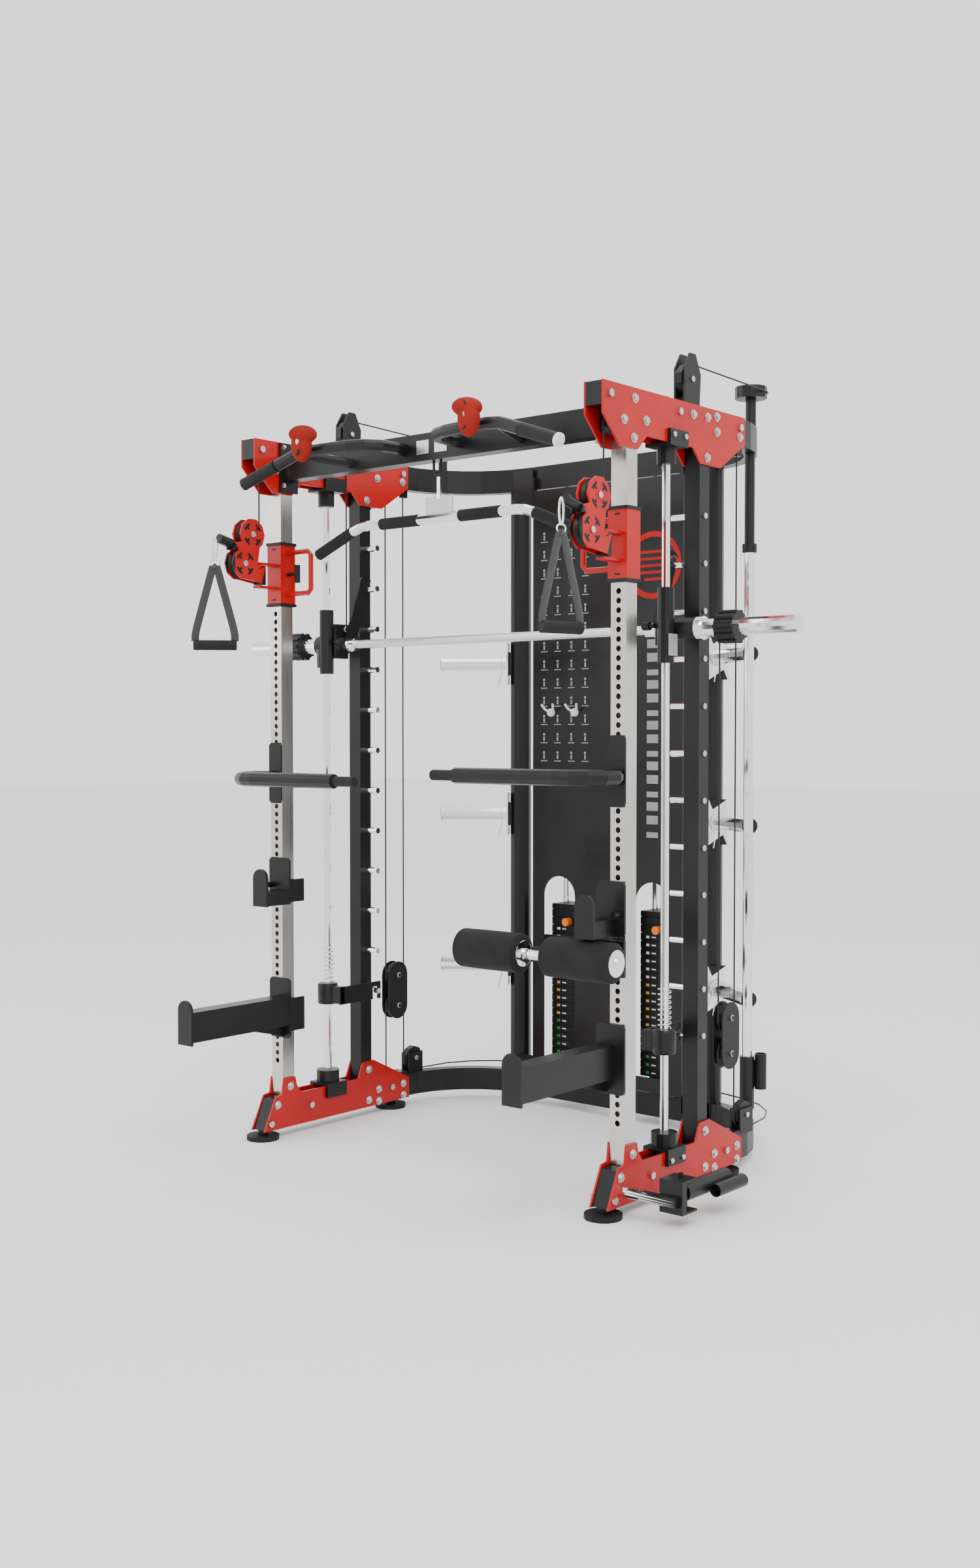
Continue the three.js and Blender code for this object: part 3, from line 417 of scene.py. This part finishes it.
for side, sign in SIDES:
    paint(f"base_plates_{side}", RED, (ZINC, lambda x, y, z: x < 633.4 or x > 696.6))
    paint(f"top_plates_{side}", RED, (ZINC, lambda x, y, z: x < 633.4 or x > 696.6))
    paint(f"rear_upright_{side}", BLACK, (CHROME, lambda x, y, z: x < 639.5))
    paint(f"guide_rod_{side}", CHROME, (BLACK, lambda x, y, z: z < 179 or z > 2023))
    paint(f"smith_carriage_{side}", BLACK)
    paint(f"dip_bar_{side}", BLACK, (RUBBER_AND_HOLE_SHADE, lambda x, y, z: x < 236), bevel=0.0015)
    paint(f"j_hook_{side}", BLACK, bevel=0.0025)
    paint(f"safety_arm_{side}", BLACK, bevel=0.0025)
    paint(f"trolley_{side}", RED, bevel=0.002)
    paint(f"pull_pin_{side}", RUBBER_AND_HOLE_SHADE)
    paint(f"pulley_arm_{side}", RED, (BLACK, lambda x, y, z: y < -200 or (y > -102 and z < 1815)),
          (ZINC, lambda x, y, z: abs(x - SIDE) < 13.9))
    paint(f"floating_block_{side}", NYLON_AND_SLOT_SHADE)
    paint(f"storage_post_{side}", BLACK,
          (CHROME, lambda x, y, z: off_post(x, y, 49.5) and x < 640 and 200 < z < 1800))
    paint(f"weight_stack_{side}", IRON)
    paint(f"stack_head_{side}", IRON, (CHROME, lambda x, y, z: math.hypot(x - 185, y - 935) < 13))
    paint(f"selector_pin_{side}", ORANGE)


# ---- replacements for soft and round pieces -----------------------------------------------------
def foam_roller(node, body):
    low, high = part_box(node)
    middle = (low + high) / 2
    length = high.x - low.x
    radius = (high.z - low.z) / 2
    profile = []
    steps = 24
    for i in range(steps + 1):
        t = i / steps
        edge = min(t, 1 - t) * length
        round_off = radius - 0.012 + 0.012 * math.sqrt(max(0.0, 1 - max(0.0, 1 - edge / 0.012) ** 2))
        profile.append((t * length, round_off - 0.0008 * (1 + math.cos(2 * math.pi * t)) / 2))
    start = Vector((low.x, middle.y, middle.z))
    foam = Piece(f"{node}_foam", "foam").turned(start, (1, 0, 0), profile, FOAM, 48).build(0, body)
    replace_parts(foam, node)
    caps = Piece(f"{node}_caps", "chrome")
    for x, way in ((low.x + 0.0005, -1), (high.x - 0.0005, 1)):
        caps.turned(Vector((x, middle.y, middle.z)), (way, 0, 0),
                    [(0, 0.036), (0.002, 0.036), (0.0026, 0.034)], CHROME, 40)
    caps.build(0, body)


def drilled_upright(side):
    """A square tube whose front wall has a row of round holes, one for each pitch."""
    low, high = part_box(f"front_upright_{side}")
    wall, radius, arc_steps = 0.003, 0.0078, 4
    middle = (low.x + high.x) / 2
    first, last = 9, 66
    levels = [low.z] + [HOLE_PITCH * i for i in range(first, last + 1)] + [high.z]
    verts, faces = [], []

    def ring(inset, z):
        x0, x1, y0, y1 = low.x + inset, high.x - inset, low.y + inset, high.y - inset
        verts.extend([(x0, y0, z), (x1, y0, z), (x1, y1, z), (x0, y1, z)])

    for z in levels:
        ring(0, z)
        ring(wall, z)
    for i in range(len(levels) - 1):
        a, b = 8 * i, 8 * (i + 1)
        drilled = 0 < i < len(levels) - 2
        for k in range(4):
            m = (k + 1) % 4
            if drilled and k == 0:
                continue
            faces.append((a + k, a + m, b + m, b + k))
            faces.append((a + 4 + m, a + 4 + k, b + 4 + k, b + 4 + m))
        if not drilled:
            continue
        center_z = (levels[i] + levels[i + 1]) / 2
        starts = []
        for y in (low.y, low.y + wall):
            starts.append(len(verts))
            for step in range(4 * arc_steps):
                angle = math.radians(-135) + 2 * math.pi * step / (4 * arc_steps)
                verts.append((middle + radius * math.cos(angle), y, center_z + radius * math.sin(angle)))
        outer, inner = starts
        count = 4 * arc_steps
        for corners, start, flip in (((a, a + 1, b + 1, b), outer, False),
                                     ((a + 4, a + 5, b + 5, b + 4), inner, True)):
            for k in range(4):
                rim = [start + (arc_steps * k + j) % count for j in range(arc_steps, -1, -1)]
                face = [corners[k], corners[(k + 1) % 4]] + rim
                faces.append(face[::-1] if flip else face)
        for step in range(count):
            nxt = (step + 1) % count
            faces.append((outer + step, outer + nxt, inner + nxt, inner + step))
    top = 8 * (len(levels) - 1)
    for k in range(4):
        m = (k + 1) % 4
        faces.append((m, k, 4 + k, 4 + m))
        faces.append((top + k, top + m, top + 4 + m, top + 4 + k))
    piece = Piece(f"drilled_upright_{side}", "stainless")
    piece._add(verts, faces, UPRIGHT)
    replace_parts(piece.build(0.0008), f"front_upright_{side}")


def safety_stop(side, sign):
    """Collar on the rod, an open coil spring above it and a flat hook that reaches back to a peg."""
    x = sign * SIDE
    piece = Piece(f"stop_{side}", "black_coat")
    piece.turned(at(x, ROD_Y, 396), (0, 0, 1), [(0, 0.030), (0.004, 0.033), (0.064, 0.033), (0.068, 0.030)],
                 BLACK, 40)
    inner = x - sign * 70
    outer = x - sign * 62
    piece.box(at(min(x - sign * 20, inner), 187, 401), at(max(x - sign * 20, inner), 209, 457), BLACK)
    lo, hi = min(inner, outer), max(inner, outer)
    piece.box(at(lo, 190, 440), at(hi, 379, 456), BLACK)
    piece.box(at(lo, 190, 398), at(hi, 342, 441), BLACK)
    piece.box(at(lo, 368, 398), at(hi, 379, 441), BLACK)
    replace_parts(piece.build(0.001), f"safety_stop_{side}")
    turns, per_turn = 8, 24
    coil = []
    for i in range(turns * per_turn + 1):
        angle = 2 * math.pi * i / per_turn
        z = 467 + (582 - 467) * i / (turns * per_turn)
        coil.append(at(x + 18 * math.cos(angle), ROD_Y + 18 * math.sin(angle), z))
    Piece(f"spring_{side}", "chrome").tube(coil, 0.002, CHROME, 12).build(0)


def climbing_hold(side, sign):
    """A moulded grip: a broad brow over a narrower chin, blended into one skin."""
    low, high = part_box(f"climbing_hold_{side}")
    middle = (low + high) / 2
    hold = Piece(f"hold_{side}", "resin")
    lumps = (((0.042, 0.0225, 0.027), (-0.002, 0.024)), ((0.031, 0.021, 0.049), (0.004, -0.008)))
    for size, place in lumps:
        center = middle + Vector((sign * place[0], 0, place[1]))
        steps = 24
        angles = [math.pi * (i + 0.25) / (steps + 0.5) for i in range(steps + 1)]
        points = [center - Vector((0, 0, size[2] * math.cos(a))) for a in angles]
        hold.tube(points, [size[0] * math.sin(a) for a in angles], RESIN, 40, flat=size[1] / size[0])
    obj = hold.build(0)
    blend = obj.modifiers.new("one skin", "REMESH")
    blend.mode = "VOXEL"
    blend.voxel_size = 0.0022
    blend.use_smooth_shade = True
    soften = obj.modifiers.new("soften", "SMOOTH")
    soften.iterations = 6
    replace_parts(obj, f"climbing_hold_{side}")
    # The two dark discs are painted shade standing in for the hold's two holes; the hexagon is its real bolt
    # head.
    marks = Piece(f"hold_hole_shade_and_bolt_{side}", "resin")
    for lift, radius in ((0.030, 0.010), (-0.030, 0.009)):
        marks.turned(middle + Vector((0, -0.019, lift)), (0, -1, 0),
                     [(0, radius), (0.0022, radius)], RUBBER_AND_HOLE_SHADE, 28)
    marks.hexagon(middle + Vector((0, -0.0205, 0)), (0, -1, 0), 0.009, 0.0035, ZINC)
    marks.build(0)


def pulley_wheel(node, body):
    low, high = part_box(node)
    middle = (low + high) / 2
    radius = (high.z - low.z) / 2
    half = (high.x - low.x) / 2
    profile = [(0, 0.010), (0.001, radius - 0.002), (0.003, radius), (half - 0.003, radius - 0.006),
               (half, radius - 0.0075), (half + 0.003, radius - 0.006), (2 * half - 0.003, radius),
               (2 * half - 0.001, radius - 0.002), (2 * half, 0.010)]
    start = Vector((low.x, middle.y, middle.z))
    wheel = Piece(f"{node}_turned", "nylon").turned(start, (1, 0, 0), profile, NYLON_AND_SLOT_SHADE, 56)
    wheel.turned(start, (1, 0, 0), [(-0.0004, 0.013), (2 * half + 0.0004, 0.013)], ZINC, 28)
    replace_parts(wheel.build(0, body), node)


def strap_handle(side, sign):
    low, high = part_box(f"strap_handle_{side}")
    middle = (low + high) / 2
    turn = Matrix.Rotation(math.radians(75 if sign > 0 else 45), 3, "Z")

    def place(across, depth, z):
        return Vector((middle.x, middle.y, 0)) + turn @ Vector((across, depth, 0)) + Vector((0, 0, z))

    strap = Piece(f"strap_{side}", "webbing")
    grip_z = low.z + 0.016
    for way in (-1, 1):
        points = [place(way * a, 0, z) for a, z in ((0.004, 1.798), (0.012, 1.772), (0.055, 1.61),
                                                     (0.060, 1.585), (0.060, grip_z + 0.012))]
        strap.tube(points, 0.0026, WEB, 16, flat=4.6)
    body = f"handle_{side}"
    strap.tube([place(0, 0.0, 1.803), place(0, 0, 1.79)], 0.005, WEB, 12, flat=2.4)
    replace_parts(strap.build(0.0003, body), f"strap_handle_{side}")
    grip = Piece(f"grip_{side}", "webbing")
    ribs = 15
    profile = []
    for i in range(ribs):
        x = 0.108 * i / ribs
        profile += [(x, 0.0158), (x + 0.0054, 0.0158), (x + 0.006, 0.0149), (x + 0.0066, 0.0149)]
    grip.turned(place(-0.054, 0, grip_z), turn @ Vector((1, 0, 0)), profile, RUBBER_AND_HOLE_SHADE, 32)
    for way in (-1, 1):
        grip.turned(place(way * 0.054, 0, grip_z), turn @ Vector((way, 0, 0)),
                    [(0, 0.0159), (0.009, 0.0159), (0.0115, 0.0135)], RUBBER_AND_HOLE_SHADE, 32)
    grip.build(0, body)
    hook = Piece(f"carabiner_{side}", "chrome")
    ring = [place(0.014 * math.cos(a), 0, 1.805 + 0.012 * math.sin(a))
            for a in [2 * math.pi * i / 24 for i in range(24)]]
    hook.tube(ring, 0.0025, CHROME, 12, closed=True)
    gate = [place(0.007 * math.cos(a), 0, 1.849 + 0.034 * math.sin(a))
            for a in [2 * math.pi * i / 32 for i in range(32)]]
    hook.tube(gate, 0.003, CHROME, 12, closed=True)
    hook.build(0, body)


foam_roller("foam_roller_inner", "roller_in")
foam_roller("foam_roller_outer", "roller_out")
for side, sign in SIDES:
    drilled_upright(side)
    safety_stop(side, sign)
    climbing_hold(side, sign)
    pulley_wheel(f"upper_wheel_{side}", f"wheel_up_{side}")
    pulley_wheel(f"lower_wheel_{side}", f"wheel_low_{side}")
    strap_handle(side, sign)


# ---- cables -------------------------------------------------------------------------------------
def arc(x, center, radius, start, end, steps=16):
    angles = [math.radians(start + (end - start) * i / steps) for i in range(steps + 1)]
    return [at(x, center[0] + radius * math.cos(a), center[1] + radius * math.sin(a)) for a in angles]


def straight(start, end, steps=12):
    return [Vector(start).lerp(Vector(end), i / steps) for i in range(steps + 1)]


def cable(name, points, body="frame", moving=None):
    """A cable run on one body, or, when it reaches a moving body, a run on no body with its placement baked
    into the mesh.
    """
    piece = Piece(name, "cable").tube(points, CABLE_R, CABLE, 14)
    if not moving:
        return piece.build(0, body)
    obj = piece.build(0, None)
    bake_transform(obj)
    return obj


GROUND_Z = BASE_WHEEL[1] - WHEEL_R
GROUND_ROUTE = [
    (664, 680), (650, 770), (610, 850), (545, 915), (450, 958), (330, 990), (240, 1003), (200, 1005),
]


def cables(side, sign):
    """Runs between the pulleys of one side; those that reach a moving body are left on no body."""
    x = sign * SIDE
    sx = sign * STACK_X
    arm_y = FRONT_WHEEL[0] - FRONT_WHEEL_R
    front_y, back_y = BLOCK_Y - WHEEL_R, BLOCK_Y + WHEEL_R
    cable(f"arm_run_{side}", straight(at(x, arm_y, 2097), at(x, arm_y, 1911)), "frame", f"trolley_{side}")
    over = arc(x, FRONT_WHEEL, FRONT_WHEEL_R, 180, 90) + arc(x, REAR_WHEEL, WHEEL_R, 90, 0)
    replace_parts(cable(f"rail_run_{side}", over), f"trolley_cable_{side}")
    block = f"block_{side}"
    cable(f"drop_run_{side}", straight(at(x, front_y, 2085), at(x, front_y, BLOCK_TOP)), "frame", block)
    cable(f"block_loop_{side}", arc(x, (BLOCK_Y, BLOCK_TOP), WHEEL_R, 180, 360), block)
    cable(f"end_run_{side}", straight(at(x, back_y, 2093), at(x, back_y, BLOCK_TOP)), "frame", block)
    cable(f"anchor_run_{side}", straight(at(x, front_y, 119), at(x, front_y, BLOCK_LOW)), "frame", block)
    cable(f"top_loop_{side}", arc(x, (BLOCK_Y, BLOCK_LOW), WHEEL_R, 180, 0), block)
    cable(f"down_run_{side}", straight(at(x, back_y, 155), at(x, back_y, BLOCK_LOW)), "frame", block)
    stack_back = STACK_WHEEL[0] + STACK_WHEEL_R
    base_run = arc(x, BASE_WHEEL, WHEEL_R, 180, 270)
    base_run += [at(sign * px, py, GROUND_Z) for px, py in GROUND_ROUTE]
    base_run += [at(sign * 188, stack_back, 129)]
    base_run += [at(sx, stack_back, z) for z in (171, 1100, 2150)]
    base_run += arc(sx, STACK_WHEEL, STACK_WHEEL_R, 0, 180)
    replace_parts(cable(f"ground_run_{side}", base_run), f"stack_cable_{side}")
    lift = straight(at(sx, STACK_AXIS_Y, STACK_WHEEL[1]), at(sx, STACK_AXIS_Y, 716))
    cable(f"stack_run_{side}", lift, "frame", f"stack_head_{side}")
    angles = [math.radians(10 * i) for i in range(17)]
    wrap = [at(sign * CORNER_X + sign * CORNER_R * math.cos(a), CORNER_Y + CORNER_R * math.sin(a), CORNER_Z)
            for a in angles]
    cable(f"top_run_{side}", straight(at(x, 304, 2320), wrap[0]) + wrap[1:])
    counter_x = x - sign * 36
    counter = straight(at(counter_x, 256, 2225), at(counter_x, 256, 1636))
    cable(f"counter_run_{side}", counter, "frame", "smith_carriage")


for side, sign in SIDES:
    cables(side, sign)


# ---- fittings -----------------------------------------------------------------------------------
BASE_BOLTS = [(2, 158), (-53, 106), (361, 155), (409, 80), (531, 80), (361, 51), (409, 40), (531, 40)]
TOP_BOLTS = [(3, 2172), (-46, 2110), (56, 2120), (-1, 2067), (286, 2171), (359, 2173), (407, 2181),
             (408, 2139), (531, 2141), (357, 2060)]


def plate_bolts(side, sign):
    """Washers and heads on the side plates, and heads on the rod saddles and the rear upright."""
    bolts = Piece(f"plate_bolts_{side}", "stainless")
    for y, z in BASE_BOLTS + TOP_BOLTS:
        for way, face in ((1, PLATE_OUT), (-1, PLATE_IN)):
            out = (sign * way, 0, 0)
            bolts.turned(at(sign * face, y, z), out, [(0, 0.0135), (0.0018, 0.0135)], ZINC, 28)
            bolts.hexagon(at(sign * (face + way * 1.5), y, z), out, 0.0098, 0.0065, ZINC)
    for y in (174, 230):
        for z in (108, 2100):
            bolts.hexagon(at(sign * 706.8, y, z), (sign, 0, 0), 0.0085, 0.006, ZINC)
    for i in range(PEG_COUNT):
        place = at(sign * 689.8, PEG_Y, PEG_TOP_Z - PEG_PITCH * i)
        bolts.hexagon(place, (sign, 0, 0), 0.0095, 0.0065, ZINC)
    bolts.build(0.0005)


def trolley_liners_and_slot_shade(side, sign):
    """Plastic liners at the trolley's ends, and two thin dark strips on its front, painted shade standing in
    for its two slots.
    """
    x = sign * SIDE
    inner, outer = 31.2, 34
    liners_and_slot_shade = Piece(f"trolley_liners_and_slot_shade_{side}", "nylon")
    for z in (1690, 1882):
        for a, b in ((-outer, -inner), (inner, outer)):
            liners_and_slot_shade.box(at(x + a, -outer, z - 3), at(x + b, outer, z + 6), NYLON_AND_SLOT_SHADE)
            liners_and_slot_shade.box(at(x - inner, a, z - 3), at(x + inner, b, z + 6), NYLON_AND_SLOT_SHADE)
    # Thin dark strips: painted shade standing in for the two slots.
    for z in (1708, 1867):
        liners_and_slot_shade.box(at(x - 9, -31.5, z - 2.5), at(x + 9, -30.9, z + 2.5), NYLON_AND_SLOT_SHADE)
    liners_and_slot_shade.build(0.0008, f"trolley_{side}")


def arm_slot_shade_and_axles(side, sign):
    """Four dark T-shaped bands around each wheel of the arm, painted shade standing in for its slots, and
    the wheels' axle heads.
    """
    x = sign * SIDE
    slots = Piece(f"arm_slot_shade_and_axles_{side}", "nylon")
    for cy, cz in ARM_WHEELS:
        for spoke in range(4):
            turns = [math.radians(90 * spoke + 22 + 46 * i / 8) for i in range(9)]
            middle = turns[4]
            # Thin dark bands: painted shade standing in for the T-shaped slots.
            for face in (-20.1, 20.1):
                curve = [at(x + face, cy + 33 * math.cos(a), cz + 33 * math.sin(a)) for a in turns]
                slots.band(curve, (1, 0, 0), 0.008, 0.0008, NYLON_AND_SLOT_SHADE)
                stem = [at(x + face, cy + r * math.cos(middle), cz + r * math.sin(middle)) for r in (20, 30)]
                slots.band(stem, (1, 0, 0), 0.007, 0.0008, NYLON_AND_SLOT_SHADE)
        for way in (sign, -sign):
            slots.hexagon(at(x + way * 20, cy, cz), (way, 0, 0), 0.010, 0.006, ZINC)
    slots.build(0, f"arm_{side}")


def axle_bolts(side, sign):
    axles = Piece(f"axle_bolts_{side}", "stainless")
    for (y, z), reach in ((SIDE_WHEEL, 18), (REAR_WHEEL, 24), (BASE_WHEEL, 18)):
        for way in (-1, 1):
            axles.hexagon(at(sign * SIDE + way * reach, y, z), (way, 0, 0), 0.009, 0.006, ZINC)
    axles.build(0.0004)
    nuts = Piece(f"block_bolts_{side}", "stainless")
    for z in (BLOCK_TOP, BLOCK_LOW):
        for way in (-1, 1):
            nuts.hexagon(at(sign * SIDE + way * 17, BLOCK_Y, z), (way, 0, 0), 0.010, 0.0065, ZINC)
    nuts.build(0.0004, f"block_{side}")


def horn_direction(sign):
    return Vector((sign * math.cos(HORN_TURN), -math.sin(HORN_TURN), 0))


def horn_clips(side, sign):
    """A wire ring around each storage horn, with two legs that hang from it."""
    out = horn_direction(sign)
    up = Vector((0, 0, 1))
    across = out.cross(up)
    clips = Piece(f"horn_clips_{side}", "chrome")
    for z in HORN_HEIGHTS:
        base = at(sign * POST[0], POST[1], z) + out * 0.066
        angles = [2 * math.pi * i / 28 for i in range(28)]
        loop = [base + 0.0262 * (math.cos(a) * across + math.sin(a) * up) for a in angles]
        clips.tube(loop, 0.0016, CHROME, 10, closed=True)
        for way in (-1, 1):
            foot = base + across * (way * 0.012) - up * 0.025
            clips.rod(foot, foot + out * 0.012 + across * (way * 0.016) - up * 0.055, 0.0016, CHROME, 10)
    clips.build(0)


def hook_knob(side, sign):
    """The knob inside the carriage, a plain pale label and a bolt."""
    knobs = Piece(f"hook_knob_{side}", "knob")
    knobs.turned(at(sign * 627, ROD_Y, 1584), (-sign, 0, 0),
                 [(0, 0.006), (0.014, 0.006), (0.015, 0.012), (0.036, 0.012), (0.039, 0.009)], RUBBER_AND_HOLE_SHADE, 28)
    knobs.box(at(sign * 688.3, 178, 1500), at(sign * 689, 222, 1560), PRINT)
    knobs.hexagon(at(sign * 627.5, BAR_Y, 1627), (-sign, 0, 0), 0.010, 0.007, ZINC)
    knobs.build(0, "smith_carriage")


def bar_caps(side, sign):
    """The dark disc on the sleeve's end and the ribs around its collar."""
    caps = Piece(f"bar_caps_{side}", "chrome")
    caps.turned(at(sign * 1052, BAR_Y, BAR_Z), (sign, 0, 0), [(0, 0.0235), (0.0009, 0.0235)], BLACK, 40)
    for i in range(10):
        a = math.radians(36 * i)
        tip = at(sign * 813, BAR_Y + 41 * math.cos(a), BAR_Z + 41 * math.sin(a))
        caps.rod(tip, tip + Vector((sign * 0.058, 0, 0)), 0.006, BLACK, 10)
    caps.build(0, "bar")


def grips_and_caps(side, sign):
    """The pull-up handle's grip and white cap, and the dark discs on the storage horns."""
    tips = Piece(f"grips_{side}", "foam")
    end = at(sign * 603, -210, 2045)
    tips.rod(at(sign * 470, -200, 2089), end, 0.0186, RUBBER_AND_HOLE_SHADE, 32)
    tips.turned(end, (sign, -0.075, -0.33), [(0, 0.019), (0.008, 0.019), (0.011, 0.015)], WHITE, 32)
    out = horn_direction(sign)
    for z in HORN_HEIGHTS:
        tips.turned(at(sign * POST[0], POST[1], z) + out * 0.2785, out,
                    [(0, 0.024), (0.0012, 0.024)], BLACK, 32)
    tips.build(0)


def stack_print_and_pin_shade(side, sign):
    """Coloured and white marks on each plate that stays down, and a dark disc of painted shade at its pin
    hole.
    """
    x = sign * STACK_X
    front = STACK_FRONT_Y - 0.7, STACK_FRONT_Y - 0.1
    print_and_pin_shade = Piece(f"stack_print_and_pin_shade_{side}", "stainless")
    for i in range(18):
        z = 151 + 26.5 * i + 12.5
        tint = (GREEN, YELLOW, WHITE)[i // 6]
        print_and_pin_shade.box(at(x - 52, front[0], z - 4), at(x - 40, front[1], z + 4), tint)
        print_and_pin_shade.box(at(x - 30, front[0], z - 2), at(x - 14, front[1], z + 2), WHITE)
        # The dark disc is painted shade standing in for the pin hole.
        hole = at(x + 28, STACK_FRONT_Y + 0.1, z)
        print_and_pin_shade.turned(hole, (0, -1, 0), [(0, 0.0045), (0.0006, 0.0045)], RUBBER_AND_HOLE_SHADE, 16)
    print_and_pin_shade.build(0)


FITTINGS = (plate_bolts, trolley_liners_and_slot_shade, arm_slot_shade_and_axles, axle_bolts, horn_clips, hook_knob, bar_caps,
            grips_and_caps, stack_print_and_pin_shade)
for side, sign in SIDES:
    for fitting in FITTINGS:
        fitting(side, sign)

# Printed marks on the panel: a plain ring with bars, a column of blocks and a chart of small figures.
marks = Piece("panel_marks", "stainless")
PRINT_Y = 833.6
ring = [at(190 + 100 * math.cos(2 * math.pi * i / 72), PRINT_Y, 1830 + 100 * math.sin(2 * math.pi * i / 72))
        for i in range(72)]
marks.band(ring, (0, 1, 0), 0.018, 0.0008, EMBLEM, closed=True)
for i, (wide, z) in enumerate(((58, 1868), (76, 1846), (76, 1824), (58, 1802), (34, 1780))):
    marks.box(at(190 - wide, PRINT_Y - 0.3, z), at(190 + wide, PRINT_Y + 0.3, z + 9), EMBLEM)
for i in range(16):
    z = 1620 - i * 44
    marks.box(at(168, PRINT_Y - 0.3, z - 14), at(212, PRINT_Y + 0.3, z + (14 if i % 3 else 4)), PRINT)
for row in range(13):
    for column in range(4):
        x, z = -276 + column * 58, 1930 - row * 62
        marks.rod(at(x + 20, PRINT_Y, z + 34), at(x + 20, PRINT_Y - 0.5, z + 34), 0.0045, PRINT, 14)
        marks.box(at(x + 17, PRINT_Y - 0.3, z + 12), at(x + 23, PRINT_Y + 0.3, z + 27), PRINT)
        marks.box(at(x + 6, PRINT_Y - 0.3, z + 4), at(x + 34, PRINT_Y + 0.3, z + 7), PRINT)
marks.build(0)

grips = Piece("lat_grips", "foam")
for way in (-1, 1):
    grips.rod(at(way * 82, 8, 1915), at(way * 232, 8, 1915), 0.0172, FOAM, 32)
    grips.rod(at(way * 356, 8, 1900.5), at(way * 503, 8, 1841), 0.0172, FOAM, 32)
grips.build(0.001, "lat")

hooks = Piece("panel_hooks", "stainless")
for x in (-224, -124):
    hooks.turned(at(x, 834, 1356), (0, -1, 0), [(0, 0.014), (0.006, 0.014), (0.012, 0.011)], WHITE, 28)
    for way in (-1, 1):
        prong = [at(x, 826, 1356), at(x + way * 18, 818, 1368), at(x + way * 24, 808, 1384)]
        hooks.tube(prong, 0.004, WHITE, 12)
hooks.build(0)

beam = Piece("beam_fittings", "black_coat")
for x in (-35, 35):
    beam.box(at(x - 24, -26.4, 2100), at(x + 24, -25.2, 2140), ZINC)
for x in (-606, 606):
    for z in (2062, 2180):
        beam.hexagon(at(x, -38, z), (0, -1, 0), 0.008, 0.006, ZINC)
beam.build(0.0008)


# ---- studio -------------------------------------------------------------------------------------
bpy.ops.mesh.primitive_plane_add(size=60, location=(0, 0, 0))
floor = bpy.context.object
floor.name = "studio_floor"
floor.data.materials.append(Nodes("floor_paint", (0.9, 0.9, 0.9), 0.9).material)

world = bpy.context.scene.world or bpy.data.worlds.new("World")
bpy.context.scene.world = world
world.use_nodes = True
world.node_tree.nodes["Background"].inputs["Color"].default_value = (1, 1, 1, 1)
world.node_tree.nodes["Background"].inputs["Strength"].default_value = 1.6


def area_light(name, place, target, size, power):
    data = bpy.data.lights.new(name, "AREA")
    data.shape = "RECTANGLE"
    data.size, data.size_y = size
    data.energy = power
    light = bpy.data.objects.new(name, data)
    bpy.context.scene.collection.objects.link(light)
    light.location = place
    light.rotation_euler = (Vector(target) - Vector(place)).to_track_quat("-Z", "Y").to_euler()


area_light("key_light", (3.2, -2.2, 4.6), (0, 0, 1), (2.4, 2.4), 110)
area_light("fill_light", (-4.0, -3.6, 3.0), (0, 0, 1.2), (3.0, 3.0), 40)
area_light("top_light", (0.2, 0.4, 5.2), (0, 0, 0), (3.0, 3.0), 50)

camera_data = bpy.data.cameras.new("camera")
camera_data.lens = 37.8
camera = bpy.data.objects.new("camera", camera_data)
bpy.context.scene.collection.objects.link(camera)
camera.location = at(3213.5, -3604.4, 1289.1)
camera.rotation_euler = (math.radians(90 - 1.8), 0, math.radians(39.9))
bpy.context.scene.camera = camera
